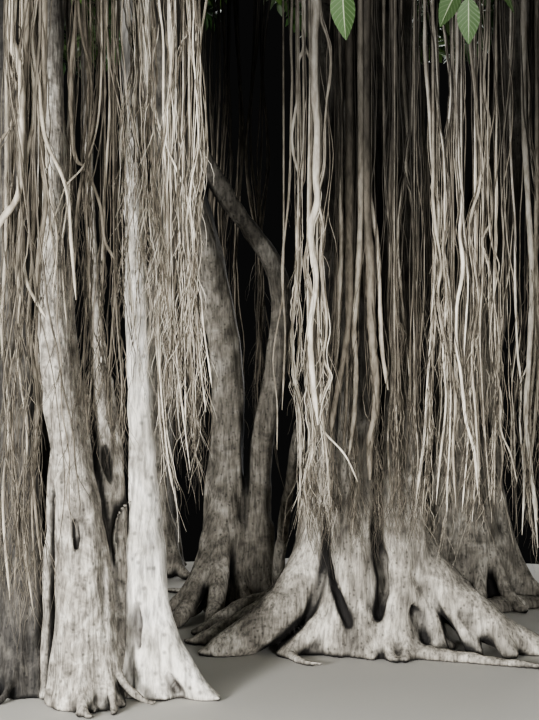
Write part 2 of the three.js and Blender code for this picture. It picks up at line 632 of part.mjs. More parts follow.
let standing = null; // all limbs so far, grown by the clearance
for (const [name, material, make] of limbs) {
  const whole = make(0);
  addNode(name, largestBody(standing ? whole.subtract(standing) : whole), material);
  const fat = make(CLEARANCE + SMALL_DETAIL);
  standing = standing ? standing.add(fat) : fat;
}
for (const mass of MASSES) addNode(mass.name, massSolid(mass, standing), leafGreen);

export default tree;
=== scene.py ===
"""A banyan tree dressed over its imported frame: fluted bark, hanging roots, twigs and leaves.

Lengths are in metres, +Z is up, and -Y is the side that the photograph shows. Plan angles are in degrees.
"""

import logging
import math
from collections.abc import Iterator, Sequence
from dataclasses import dataclass, field, replace
from enum import Enum

import bpy
import numpy as np
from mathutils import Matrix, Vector
from numpy.typing import NDArray


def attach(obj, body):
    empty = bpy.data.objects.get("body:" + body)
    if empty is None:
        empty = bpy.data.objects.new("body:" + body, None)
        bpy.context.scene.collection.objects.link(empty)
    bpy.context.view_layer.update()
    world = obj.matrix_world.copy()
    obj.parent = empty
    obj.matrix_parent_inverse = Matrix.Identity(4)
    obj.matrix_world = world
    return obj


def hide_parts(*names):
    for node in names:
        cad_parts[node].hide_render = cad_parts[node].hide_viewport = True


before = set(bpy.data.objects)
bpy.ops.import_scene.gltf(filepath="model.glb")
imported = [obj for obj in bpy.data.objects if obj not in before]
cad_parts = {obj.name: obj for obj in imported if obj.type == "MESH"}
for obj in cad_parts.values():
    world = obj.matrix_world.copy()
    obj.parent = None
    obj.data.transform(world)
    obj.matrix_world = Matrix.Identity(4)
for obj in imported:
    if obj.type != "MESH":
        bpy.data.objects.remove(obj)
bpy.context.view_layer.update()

Array = NDArray[np.float64]
Plan = tuple[float, float]
Place = tuple[float, float, float]
# One number, or an array of them.
Number = Array | float
# Two arrays that go together, such as places and radii.
Pair = tuple[Array, Array]
Object = bpy.types.Object
Mesh = bpy.types.Mesh
Material = bpy.types.Material
Tree = bpy.types.NodeTree
Node = bpy.types.Node
Socket = bpy.types.NodeSocket
LOG = logging.getLogger("banyan")
BODY = "root"
GOLDEN_ANGLE = math.pi * (3 - math.sqrt(5))
MM = 0.001
# The camera: its place, its level look along +Y, its focal length in pixels, and the picture's middle.
EYE = np.array([-500, -5900, 1400]) * MM
FOCAL = 1200
PICTURE_MIDDLE = (269.5, 360)


class Slot(Enum):
    """The record's finishes, by name."""

    BARK = "bark"
    ROOTS = "hanging_roots"
    LEAVES = "foliage"


# Numbers and curves


# What the repeatable numbers and the noise's lattice are stirred with.
SEED_PACE, INDEX_PACE, PHASE, RAISE = 12.9898, 78.233, 4.1, 43758.5453
LATTICE_PRIMES = (73856093, 19349663, 83492791, 2654435761)
LATTICE_STIR = 1274126177


def jitter(seed: Number, index: Number) -> Array:
    """A repeatable number from 0 to 1 for a pair: the broken part of a large multiple of a sine."""
    raised = np.sin(np.asarray(seed) * SEED_PACE + np.asarray(index) * INDEX_PACE + PHASE) * RAISE
    return raised - np.floor(raised)


def even(count: int) -> Array:
    """Shares spread evenly from 0 to 1."""
    return np.linspace(0, 1, count)


def mix(start: Number, end: Number, share: Number) -> Number:
    """The value a share of the way from start to end."""
    return start + (end - start) * share


def smooth(value: Number, low: float, high: float) -> Array:
    """A ramp from 0 at low to 1 at high that starts and ends level: 3t squared less 2t cubed."""
    t = np.clip((np.asarray(value) - low) / (high - low), 0, 1)
    return t * t * (3 - 2 * t)


def unit(vectors: Array) -> Array:
    """Vectors brought to a length of one."""
    return vectors / np.maximum(np.linalg.norm(vectors, axis=-1, keepdims=True), 1e-9)


def polar(angle: Number, reach: Number, height: Number) -> Array:
    """A place by its plan angle and reach from the trunk, and its height."""
    turn = np.radians(angle)
    parts = TRUNK_AXIS[0] + reach * np.cos(turn), TRUNK_AXIS[1] + reach * np.sin(turn), height
    return np.stack(np.broadcast_arrays(*parts), axis=-1)


def cell_corners(part: Array) -> Iterator[tuple[tuple[int, ...], Array]]:
    """Each corner of a unit cell, with its weights at places within the cell."""
    for corner in np.ndindex(2, 2, 2):
        yield corner, np.prod(np.where(np.array(corner) == 1, part, 1 - part), axis=1)


def value_noise(points: Array, seed: int) -> Array:
    """Smooth noise from 0 to 1 at places: a number for each corner of a unit lattice, eased between them."""
    cell = np.floor(points).astype(np.int64)
    t = points - cell
    total = np.zeros(len(points))
    a, b, c, d = LATTICE_PRIMES
    for corner, weight in cell_corners(t * t * (3 - 2 * t)):
        x, y, z = (cell + corner).T
        mixed = (x * a) ^ (y * b) ^ (z * c) ^ (seed * d)
        mixed = (mixed ^ (mixed >> 13)) * LATTICE_STIR & 0x7FFFFFFF
        total += weight * ((mixed >> 7) & 0xFFFF) / 0xFFFF
    return total


def sighted(knots: Array) -> Array:
    """Places in metres for rows of pixels across, pixels down and distance from the camera in mm."""
    across, down, away = np.asarray(knots, float).T
    away = away * MM
    side, height = (across - PICTURE_MIDDLE[0]) * away / FOCAL, (PICTURE_MIDDLE[1] - down) * away / FOCAL
    return EYE + np.stack([side, away, height], axis=1)


@dataclass(frozen=True)
class Curve:
    """A centripetal curve that passes through its knots, with its share spread evenly over them."""

    knots: Sequence[Array]

    def at(self, share: Number) -> Array:
        """The places at shares of the way along, by cubic pieces whose slopes weigh the knots' distances."""
        knots = np.asarray(self.knots, float)
        ends = np.vstack([2 * knots[0] - knots[1], knots, 2 * knots[-1] - knots[-2]])
        place = np.clip(np.asarray(share, float), 0, 1) * (len(knots) - 1)
        i = np.minimum(place.astype(int), len(knots) - 2)
        w = (place - i)[..., None]
        p0, p1, p2, p3 = (ends[i + step] for step in range(4))
        d0, d1, d2 = (
            np.sqrt(np.maximum(np.linalg.norm(b - a, axis=-1, keepdims=True), 1e-8))
            for a, b in ((p0, p1), (p1, p2), (p2, p3))
        )
        out = ((p1 - p0) / d0 - (p2 - p0) / (d0 + d1) + (p2 - p1) / d1) * d1
        into = ((p2 - p1) / d1 - (p3 - p1) / (d1 + d2) + (p3 - p2) / d2) * d1
        cubic = 2 * p1 - 2 * p2 + out + into
        square = -3 * p1 + 3 * p2 - 2 * out - into
        return ((cubic * w + square) * w + out) * w + p1

    def tangent(self, share: Number) -> Array:
        """The unit directions at shares of the way along."""
        share = np.clip(np.asarray(share, float), 1e-4, 1 - 1e-4)
        return unit(self.at(share + 1e-4) - self.at(share - 1e-4))


def arcs(start: Array, elbow: Array, end: Array, share: Array) -> Array:
    """Places by arc and share on arcs with one elbow each: (1-t)^2 start + 2t(1-t) elbow + t^2 end."""
    t = np.asarray(share, float)[None, :, None]
    return (1 - t) ** 2 * start[:, None] + 2 * t * (1 - t) * elbow[:, None] + t**2 * end[:, None]


def spots_on(paths: Array, index: Array, place: Array) -> Pair:
    """Places on some of many paths, and the headings there.

    Args:
        paths: Places by path and step.
        index: The path of each place.
        place: How many steps along it, which may be broken.

    Returns:
        The places and the unit headings.
    """
    step = np.minimum(place.astype(int), paths.shape[1] - 2)
    start, end = paths[index, step], paths[index, step + 1]
    return mix(start, end, (place - step)[:, None]), unit(end - start)


def square_to(along: Array, turn: Array) -> Array:
    """Unit directions square to headings, at angles in radians from the level one."""
    level = unit(np.stack([-along[:, 1], along[:, 0], np.zeros(len(along))], axis=1) + 1e-6)
    return np.cos(turn)[:, None] * level + np.sin(turn)[:, None] * np.cross(along, level)


# Meshes


@dataclass
class Sheaf:
    """Corners, faces and finish numbers gathered for one piece. Faces are arrays with one row a face."""

    corners: list[Array] = field(default_factory=list)
    faces: list[Array] = field(default_factory=list)
    finishes: list[Array] = field(default_factory=list)
    count: int = 0

    def add(self, corners: Array, faces: Sequence[Array], finish: int | Array = 0) -> None:
        """Adds a shape.

        Args:
            corners: Its corners, a row each.
            faces: Its faces, in arrays of corner numbers.
            finish: The number of its finish, or one for each face over all arrays.
        """
        total = sum(len(rows) for rows in faces)
        numbers = np.broadcast_to(np.asarray(finish), (total,))
        start = 0
        for rows in faces:
            self.faces.append(rows + self.count)
            self.finishes.append(numbers[start : start + len(rows)])
            start += len(rows)
        self.corners.append(corners)
        self.count += len(corners)


def tubes(paths: Array, radii: Array, sides: int) -> tuple[Array, list[Array]]:
    """Closed tubes along many paths at once.

    Each ring is its centre + radius (cos a across + sin a third), all square to the path, with across level.

    Args:
        paths: Places by tube and step.
        radii: Radii by tube and step.
        sides: Corners of each ring.

    Returns:
        The corners, and the quads with the two sets of end caps.
    """
    count, steps = paths.shape[:2]
    tangent = unit(np.gradient(paths, axis=1))
    chord = paths[:, -1] - paths[:, 0]
    level = np.stack([chord[:, 1], -chord[:, 0], np.zeros(count)], axis=1)
    upright = np.linalg.norm(level, axis=1) < 0.05 * np.linalg.norm(chord, axis=1)
    level[upright] = (1, 0, 0)
    across = unit(level[:, None] - np.sum(level[:, None] * tangent, axis=2, keepdims=True) * tangent)
    third = np.cross(tangent, across)
    angle = np.arange(sides) * 2 * np.pi / sides
    around = np.cos(angle)[:, None] * across[:, :, None] + np.sin(angle)[:, None] * third[:, :, None]
    corners = (paths[:, :, None] + radii[:, :, None, None] * around).reshape(-1, 3)
    number = np.arange(count * steps * sides).reshape(count, steps, sides)
    here, ahead = number[:, :-1], number[:, 1:]
    turned = np.roll(np.arange(sides), -1)
    quads = np.stack([here, here[..., turned], ahead[..., turned], ahead], axis=-1).reshape(-1, 4)
    return corners, [quads, number[:, 0, ::-1], number[:, -1]]


def read_corners(mesh: Mesh, what: str = "co") -> Array:
    """The place of every corner of a mesh, or its outward direction if what is "normal"."""
    flat = np.zeros(len(mesh.vertices) * 3, np.float32)
    mesh.vertices.foreach_get(what, flat)
    return flat.reshape(-1, 3).astype(float)


def make_mesh(sheaf: Sheaf) -> Mesh:
    """A smooth-shaded mesh from a sheaf, put in by whole arrays."""
    corners = np.vstack(sheaf.corners)
    sizes = np.concatenate([np.full(len(rows), rows.shape[1]) for rows in sheaf.faces])
    loops = np.concatenate([rows.ravel() for rows in sheaf.faces])
    starts = np.concatenate([[0], np.cumsum(sizes)[:-1]])
    mesh = bpy.data.meshes.new("piece")
    mesh.vertices.add(len(corners))
    mesh.vertices.foreach_set("co", corners.astype(np.float32).ravel())
    mesh.loops.add(len(loops))
    mesh.loops.foreach_set("vertex_index", loops.astype(np.int32))
    mesh.polygons.add(len(sizes))
    mesh.polygons.foreach_set("loop_start", starts.astype(np.int32))
    mesh.polygons.foreach_set("material_index", np.concatenate(sheaf.finishes).astype(np.int32))
    mesh.update(calc_edges=True)
    mesh.shade_smooth()
    return mesh


def scene_object(name: str, data: bpy.types.ID) -> Object:
    """A new object in the scene."""
    thing = bpy.data.objects.new(name, data)
    bpy.context.scene.collection.objects.link(thing)
    return thing


def place_piece(name: str, mesh: Mesh, finishes: list[Material], nodes: list[str]) -> None:
    """Puts a mesh into the scene as a piece of the tree.

    Args:
        name: The piece's name.
        mesh: Its mesh.
        finishes: Its finishes, by the faces' finish numbers.
        nodes: The frame's nodes that it stands for.
    """
    mesh.name = name
    for finish in finishes:
        mesh.materials.append(finish)
    piece = scene_object(name, mesh)
    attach(piece, BODY)
    if nodes:
        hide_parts(*nodes)
    faces = len(mesh.polygons)
    LOG.info("%s: %d faces, %d triangles", name, faces, len(mesh.loops) - 2 * faces)


# Grown-together bark


# How far out from the bark other bark is looked for.
CREVICE_REACHES = (18 * MM, 40 * MM, 75 * MM)


@dataclass
class BarkField:
    """Limbs that have grown together, as one surface worked out on a lattice.

    Each limb adds exp(-(distance to its skin) / blend) to the lattice, and the bark lies where the sum is 1.

    Attributes:
        low: The lattice's lowest corner.
        high: Its highest corner.
        cell: The lattice's steps along X, Y and Z.
        blend: How far the limbs melt into one another.
        FADE: How many times the blend a limb is felt from its skin.
    """

    low: Array
    high: Array
    cell: Array
    blend: float

    FADE = 4.5

    def __post_init__(self) -> None:
        """Lays out the lattice."""
        self.size = np.ceil((self.high - self.low) / self.cell).astype(int) + 1
        self.sum = np.zeros(self.size, np.float32)
        steps = zip(self.low, self.cell, self.size)
        self.axes = [(low + cell * np.arange(size)).astype(np.float32) for low, cell, size in steps]

    def _block(self, low: Array, high: Array) -> tuple[slice, ...]:
        """The lattice's part between two corners, as slices."""
        first = np.clip(np.floor((low - self.low) / self.cell).astype(int), 0, self.size)
        last = np.clip(np.ceil((high - self.low) / self.cell).astype(int) + 1, 0, self.size)
        return tuple(slice(a, max(a, b)) for a, b in zip(first, last))

    def add(self, path: Array, radii: Array) -> None:
        """Adds one round limb, whose skin is as far off as the nearest of its stretches between knots.

        Args:
            path: Its knots.
            radii: Its radius at each knot.
        """
        margin = np.max(radii) + self.FADE * self.blend
        whole = self._block(path.min(0) - margin, path.max(0) + margin)
        limb = np.zeros([part.stop - part.start for part in whole], np.float32)
        for a, b, radius_a, radius_b in zip(path[:-1], path[1:], radii[:-1], radii[1:]):
            reach = max(radius_a, radius_b) + self.FADE * self.blend
            block = self._block(np.minimum(a, b) - reach, np.maximum(a, b) + reach)
            x, y, z = np.ix_(*(axis[part] for axis, part in zip(self.axes, block)))
            run = (b - a).astype(np.float32)
            span = max(float(run @ run), 1e-9)
            along = ((x - a[0]) * run[0] + (y - a[1]) * run[1] + (z - a[2]) * run[2]) / span
            along = np.clip(along, 0, 1)
            away = np.sqrt(sum((axis - a[j] - along * run[j]) ** 2 for j, axis in enumerate((x, y, z))))
            skin = away - (radius_a + (radius_b - radius_a) * along)
            inner = tuple(slice(a.start - b.start, a.stop - b.start) for a, b in zip(block, whole))
            near = np.exp(np.minimum(-skin / self.blend, 40))
            np.maximum(limb[inner], near, out=limb[inner])
        self.sum[whole] += limb

    def hollow(self, path: Array, radii: Array) -> None:
        """Cuts a round hollow, as in add: one over the sum grows by exp(depth inside the hollow / blend)."""
        kept = self.sum
        self.sum = np.zeros_like(kept)
        self.add(path, radii)
        gone = self.sum
        self.sum = np.where(gone > 0.01, 1 / (1 / np.maximum(kept, 1e-9) + gone), kept)

    def surface(self) -> Pair:
        """The corners and quads of the bark above the ground.

        Each cell that the surface crosses holds one corner, at the mean of the crossings of its edges, and
        one quad joins the four cells round each crossed edge.
        """
        depth = (-self.blend * np.log(np.maximum(self.sum, 1e-12))).astype(np.float32)
        self.skin = depth.copy()
        np.maximum(depth, -self.axes[2][None, None, :], out=depth)
        inside = depth < 0
        nx, ny, nz = (n - 1 for n in self.size)
        corner_count = np.zeros((nx, ny, nz), np.int8)
        for i, j, k in np.ndindex(2, 2, 2):
            corner_count += inside[i : nx + i, j : ny + j, k : nz + k]
        active = np.flatnonzero((corner_count > 0) & (corner_count < 8))
        cell = np.stack(np.unravel_index(active, (nx, ny, nz)), axis=1)
        total = np.zeros((len(active), 3))
        hits = np.zeros(len(active))
        steps = np.eye(3, dtype=int)
        squares = [steps[[i for i in range(3) if i != axis]] for axis in range(3)]
        for step, (across, third) in zip(steps, squares):
            for u, v in np.ndindex(2, 2):
                offset = u * across + v * third
                start = depth[tuple((cell + offset).T)]
                end = depth[tuple((cell + offset + step).T)]
                crossed = (start < 0) != (end < 0)
                share = np.where(crossed, start / np.where(crossed, start - end, 1), 0)
                total += crossed[:, None] * (offset + share[:, None] * step)
                hits += crossed
        corners = self.low + self.cell * (cell + total / np.maximum(hits, 1)[:, None])
        corners[:, 2] = np.maximum(corners[:, 2], 0)
        number = np.full((nx, ny, nz), -1, np.int32)
        number.reshape(-1)[active] = np.arange(len(active))
        quads = []
        for axis, (u, v) in enumerate(squares):
            inner = tuple(slice(int(i != axis), -1) for i in range(3))
            crossed = np.zeros_like(inside)
            crossed[inner] = (inside != np.roll(inside, -1, axis))[inner]
            edge = np.stack(np.nonzero(crossed), axis=1)
            ring = [edge - u - v, edge - v, edge, edge - u]
            faces = np.stack([number[tuple(place.T)] for place in ring], axis=1)
            outward = inside[tuple(edge.T)] == (axis != 1)
            quads.append(np.where(outward[:, None], faces, faces[:, ::-1]))
        return corners, np.vstack(quads)

    def crowding(self, places: Array, normals: Array) -> Array:
        """How closely other bark hems places in: 0 in the open and 1 in a crevice.

        It is one less the mean of distance over reach, with the distance to the nearest bark read from the
        lattice at each reach out along the normals.
        """
        crowded = np.zeros(len(places))
        for reach in CREVICE_REACHES:
            spot = (places + normals * reach - self.low) / self.cell
            cell = np.clip(np.floor(spot).astype(int), 0, self.size - 2)
            corners = cell_corners(np.clip(spot - cell, 0, 1))
            away = sum(weight * self.skin[tuple((cell + corner).T)] for corner, weight in corners)
            crowded += (1 - np.clip(away / reach, 0, 1)) / len(CREVICE_REACHES)
        return crowded


def mark_crevice_shade(mesh: Mesh, bark: BarkField) -> None:
    """Writes the crevice_shade attribute, the mask of a painted shade in crevices: 0 on open bark and 1 deep
    in a crevice.
    """
    crowded = bark.crowding(read_corners(mesh), read_corners(mesh, "normal"))
    crevice_shade = smooth(crowded, 0.1, 0.62).astype(np.float32)
    mesh.attributes.new("crevice_shade", "FLOAT", "POINT").data.foreach_set("value", crevice_shade)


@dataclass(frozen=True)
class Relief:
    """The bark's relief: long ridges down the limb and low bumps, moved along the surface's normals.

    Attributes:
        ridge: Height of the ridges.
        ridge_size: Distance between ridges, across and along the limb.
        bump: Height of the bumps.
        bump_size: Distance between bumps.
    """

    ridge: float = 7 * MM
    ridge_size: Plan = (45 * MM, 340 * MM)
    bump: float = 5 * MM
    bump_size: float = 85 * MM

    def carve(self, mesh: Mesh, seed: int) -> None:
        """Moves each corner along its normal by the two noises, fading to nothing at the ground."""
        places = read_corners(mesh)
        across, along = self.ridge_size
        ridges = value_noise(places / (across, across, along), seed)
        bumps = value_noise(places / self.bump_size, seed + 7)
        height = self.ridge * (ridges - 0.5) * 2 + self.bump * (bumps - 0.5) * 2
        height *= smooth(places[:, 2], 0, 60 * MM)
        places += read_corners(mesh, "normal") * height[:, None]
        places[:, 2] = np.maximum(places[:, 2], 0)
        mesh.vertices.foreach_set("co", places.astype(np.float32).ravel())
        mesh.update()


# Limbs: the frame's own sizes, in millimetres in the tables, and the rules that place them


TRUNK_AXIS = np.array([-40, 140]) * MM
UNDERGROUND = 90 * MM


@dataclass(frozen=True)
class Bole:
    """An upright limb from below the ground to its head, with its sizes in millimetres.

    Attributes:
        foot: Plan place at the ground.
        head: Plan place at the top.
        top: Height of the top.
        radii: Radius at foot, waist and head.
        knee: Plan place at the waist, or nothing for one on the way from foot to head.
        waist: Height of the waist.
    """

    foot: Plan
    head: Plan
    top: float
    radii: Place
    knee: Plan | None = None
    waist: float = 1500

    def curve(self) -> Curve:
        """The centre line: two knots up to the waist and two above it."""
        foot, head = np.array(self.foot, float), np.array(self.head, float)
        knee = mix(foot, head, 0.4) if self.knee is None else np.array(self.knee, float)
        plans = (foot, mix(foot, knee, 0.14), knee, mix(knee, head, 0.5), head)
        heights = (-UNDERGROUND / MM, 0.42 * self.waist, self.waist, (self.waist + self.top) / 2, self.top)
        return Curve(np.array([(*plan, height) for plan, height in zip(plans, heights)]) * MM)

    def radius(self, height: Array) -> Array:
        """The radius at heights: eased from foot to waist, then even to the head."""
        foot, waist, head = (r * MM for r in self.radii)
        knee, top = self.waist * MM, self.top * MM
        lower = mix(foot, waist, smooth(height, 0, knee))
        return mix(lower, head, np.maximum(0, (height - knee) / (top - knee)))

    def centre(self, height: Array) -> Array:
        """The centre line's plan places at heights."""
        places = self.curve().at(even(60))
        return np.stack([np.interp(height, places[:, 2], places[:, i]) for i in range(2)], axis=-1)

    def beside(self, height: Array, turn: Array, reach: Array) -> Array:
        """Places at heights, off the centre line by a reach towards plan angles in radians."""
        around = np.stack([np.cos(turn), np.sin(turn)], axis=1)
        return np.column_stack([self.centre(height) + around * reach[:, None], height])


@dataclass(frozen=True)
class Leg:
    """A buttress root: down the side of its bole, then out along the ground, thinning to its end.

    Attributes:
        start: Plan place on the bole.
        end: Plan place of its end.
        rise: Height of the start.
        radius: Thickest radius.
    """

    start: Plan
    end: Plan
    rise: float
    radius: float

    def path(self) -> Pair:
        """Places and radii from its start to its end."""
        start, end = np.array(self.start, float), np.array(self.end, float)
        shares = (-0.08, 0.16, 0.5, 1)
        heights = (self.rise, self.rise * 0.46, self.rise * 0.1, -0.7 * self.radius)
        knots = np.array([(*mix(start, end, share), height) for share, height in zip(shares, heights)])
        share = even(9)
        swell = mix(0.7, 1, np.sin(np.pi * np.sqrt(share)))
        places = Curve(knots * MM).at(share)
        away = unit(np.array([start[1] - end[1], end[0] - start[0]]))
        bend = 0.22 * self.radius * MM * np.sin(share * 7 + self.rise) * share
        places[:, :2] += bend[:, None] * away
        return places, self.radius * MM * swell * mix(1, 0.52, share)


# A limb by its knots' pixels and distances in one row, and its radius at each knot, in mm.
Limb = tuple[tuple[float, ...], tuple[float, ...]]


def limb_path(limb: Limb) -> Pair:
    """A sighted limb as a smooth path of places and radii in metres."""
    knots, radii = limb
    share = even(4 * len(radii) - 3)
    places = Curve(sighted(np.reshape(knots, (-1, 3)))).at(share)
    return places, np.interp(share, even(len(radii)), radii) * MM


class Skin(Enum):
    """The barks that the photograph shows."""

    WEATHERED = "weathered"
    PALE = "pale"
    MOTTLED = "mottled"
    # SHADED and DARK are darker copies of the bark: painted shade for stems and boughs that stand in shade.
    SHADED = "shaded"
    DARK = "dark"


@dataclass(frozen=True)
class Stem:
    """A stem of one or more boles that grew together, with the roots that hold it.

    Attributes:
        name: The frame's node.
        boles: Its boles, the main one first.
        legs: Its buttress roots.
        runners: Roots half sunk along the ground, as plan places and a radius.
        ridges: Further limbs by sighted knots and radii.
        hollows: Hollows, in the same way.
        forks: First stretches of its boughs, as places and radii in metres.
        flutes: Columns down each bole.
        strands: Thin roots that cling to each bole.
        toes: Low ridges from each bole's foot.
        cell: Steps of the lattice, level and upright.
        blend: How far its limbs melt into one another.
        core: The boles' own share of the thickness, low down and higher up.
        top: The share of the thickness left above 2.1 m.
        skin: Its bark.
        seed: Which numbers it draws.
    """

    name: str
    boles: tuple[Bole, ...]
    legs: tuple[Leg, ...]
    runners: tuple[tuple[tuple[Plan, ...], float], ...] = ()
    ridges: tuple[Limb, ...] = ()
    hollows: tuple[Limb, ...] = ()
    forks: tuple[Pair, ...] = ()
    flutes: int = 5
    strands: int = 4
    toes: int = 8
    cell: Plan = (16, 30)
    blend: float = 16
    core: Plan = (0.8, 0.8)
    top: float = 1
    skin: Skin = Skin.WEATHERED
    seed: int = 1

    def _limbs(self) -> list[Pair]:
        """Every limb as its knots and radii."""
        limbs = []
        for bole in self.boles:
            path = bole.curve().at(even(30))
            height = path[:, 2]
            thick = self._thick(bole, height) * mix(*self.core, smooth(height, 0.4, 1.1))
            skirt = 0.3 * bole.radii[0] * MM * np.exp(-np.maximum(height, 0) / 0.05)
            limbs.append((path, thick + skirt))
        limbs += [self._buttress(leg) for leg in self.legs]
        for plan, radius in self.runners:
            knots = [(x, y, sunk * radius) for (x, y), sunk in zip(plan, (0.2, 0.1, -0.3))]
            share = even(16)
            limbs.append((Curve(np.array(knots) * MM).at(share), radius * MM * mix(1, 0.32, share)))
        limbs += [limb_path(ridge) for ridge in self.ridges]
        limbs += self.forks
        for number, bole in enumerate(self.boles):
            limbs += [self._flute(bole, number * 40 + i) for i in range(self.flutes)]
            limbs += [self._strand(bole, number * 60 + i) for i in range(self.strands)]
            limbs += [self._toe(bole, number * 30 + i) for i in range(self.toes)]
        return limbs

    def _thick(self, bole: Bole, height: Array) -> Array:
        """A bole's radius at heights, slimmed towards the top."""
        return bole.radius(height) * mix(1, self.top, smooth(height, 1.5, 2.1))

    def _buttress(self, leg: Leg) -> Pair:
        """A buttress root carried on up its bole as a column, which eases onto the bole's side over 0.7 m."""
        path, radii = leg.path()
        start = path[0]
        gaps = [np.linalg.norm(b.centre(start[2]) - start[:2]) - b.radius(start[2]) for b in self.boles]
        bole = self.boles[int(np.argmin(gaps))]
        heading = unit(start[:2] - bole.centre(start[2]))
        heights = np.linspace(bole.top * MM * 0.985, start[2] + 0.05, 12)
        swing = 0.25 * np.sin(heights * 2.1 + leg.radius)
        turn = np.arctan2(heading[1], heading[0]) + swing * smooth(heights, start[2], start[2] + 0.8)
        thick = self._thick(bole, heights)
        upper = bole.beside(heights, turn, 0.68 * thick)
        eased = smooth(heights, start[2], start[2] + 0.7)[:, None]
        upper[:, :2] = mix(start[:2], upper[:, :2], eased)
        upper_radii = mix(radii[0], np.minimum(radii[0], 0.36 * thick), eased[:, 0])
        return np.vstack([upper, path]), np.concatenate([upper_radii, radii])

    def _flute(self, bole: Bole, index: int) -> Pair:
        """A column that runs down the outside of a bole, swaying a little, and spreads at the ground."""
        heights = np.linspace(bole.top * MM * 0.99, -0.5 * UNDERGROUND, 16)
        turn = (index + jitter(self.seed, index)) * GOLDEN_ANGLE
        turn = turn + 0.35 * np.sin(heights * mix(1.1, 2.4, jitter(self.seed, index + 9)) + index)
        thick = self._thick(bole, heights)
        spread = 0.76 + 0.3 * np.exp(-np.maximum(heights, 0) / 0.16)
        width = mix(0.2, 0.36, jitter(self.seed, index + 17))
        return bole.beside(heights, turn, spread * thick), thick * width

    def _strand(self, bole: Bole, index: int) -> Pair:
        """A thin root that has grown onto a bole's bark and wanders down it."""
        heights = np.linspace(bole.top * MM * 0.97, 0, 26)
        wander = 0.7 * np.sin(heights * mix(1.2, 3.2, jitter(self.seed, index + 31)) + index * 2.1)
        turn = index * GOLDEN_ANGLE * 1.7 + self.seed + wander
        thick = self._thick(bole, heights) * (0.98 + 0.24 * np.exp(-np.maximum(heights, 0) / 0.2))
        radius = mix(7, 17, jitter(self.seed, index + 47)) * MM
        return bole.beside(heights, turn, thick), np.full(len(heights), radius)

    def _toe(self, bole: Bole, index: int) -> Pair:
        """A low ridge that runs down a bole's foot and out along the ground, bends, and sinks as it thins."""
        share = even(14)
        foot = bole.radii[0] * MM
        thick = foot * mix(0.16, 0.3, jitter(self.seed + 7, index)) * mix(1, 0.35, share)
        height = mix(0.26, 0.5, jitter(self.seed + 8, index)) * (1 - share) ** 2.2 - 0.9 * thick * share**3
        turn = (index + 0.7 * jitter(self.seed + 5, index)) * GOLDEN_ANGLE
        turn = turn + 0.4 * np.sin(3 * share + index) * share
        far = foot * 0.9 + mix(0.06, 0.3, jitter(self.seed + 6, index))
        reach = mix(0.85 * self._thick(bole, height), far, share**1.7)
        return bole.beside(height, turn, reach), thick

    def build(self, finishes: dict[Skin, Material], relief: Relief) -> None:
        """Grows the stem and dresses it with its bark and the relief."""
        limbs = self._limbs()
        margin = 5 * self.blend * MM
        low = np.min([(path - radii[:, None]).min(0) for path, radii in limbs], axis=0) - margin
        high = np.max([(path + radii[:, None]).max(0) for path, radii in limbs], axis=0) + margin
        level, upright = (size * MM for size in self.cell)
        low[2] = -2 * upright
        bark = BarkField(low, high, np.array([level, level, upright]), self.blend * MM)
        for path, radii in limbs:
            bark.add(path, radii)
        for hollow in self.hollows:
            bark.hollow(*limb_path(hollow))
        corners, quads = bark.surface()
        sheaf = Sheaf()
        sheaf.add(corners, [quads])
        mesh = make_mesh(sheaf)
        relief.carve(mesh, self.seed)
        mark_crevice_shade(mesh, bark)
        place_piece(f"bark_{self.name}", mesh, [finishes[self.skin]], [self.name])


@dataclass(frozen=True)
class Bough:
    """A tapering bough and the mass of leaves at its tip.

    Attributes:
        name: The frame's node.
        mass: The node of its leaves.
        curve: Its centre line.
        radii: Radius at its start and tip.
        centre: Centre of the leaves' space.
        half: Half sizes of that space.
    """

    name: str
    mass: str
    curve: Curve
    radii: Plan
    centre: Array
    half: Array

    def radius(self, share: Array) -> Array:
        """The radius at shares of the way, falling with the root of the share."""
        return mix(*self.radii, np.sqrt(share))


FORK_HEIGHT = 3200 * MM
# Outer boughs: plan angle near the trunk and at the tip, reach and height of the leaves.
OUTER = (
    (217, 205, 4300, 4900),
    (240, 243, 4250, 4760),
    (271, 281, 4100, 4940),
    (308, 319, 4300, 4800),
    (350, 357, 4500, 5000),
    (42, 37, 4350, 4860),
    (82, 78, 4250, 4980),
    (122, 120, 4400, 4820),
    (165, 163, 4500, 4960),
)
OUTER_MASS = np.array([1950, 1950, 1250]) * MM
# Middle boughs: plan angle of the tip, the outer bough that each leaves, reach and height of the leaves.
MIDDLE = (
    (224, 0, 2250, 6600),
    (298, 2, 2200, 6500),
    (10, 4, 2300, 6650),
    (84, 6, 2200, 6550),
    (152, 8, 2300, 6700),
)
MIDDLE_MASS = np.array([1800, 1800, 1300]) * MM
MIDDLE_AT = 0.36
# Leaders: plan angle of the tip, height of the start, radius, reach and height of the leaves.
LEADERS = ((60, 3460.3, 165, 820, 8000), (182, 4500, 92, 900, 7850), (300, 4800, 92, 860, 7920))
LEADER_MASS = np.array([1560, 1560, 1180]) * MM


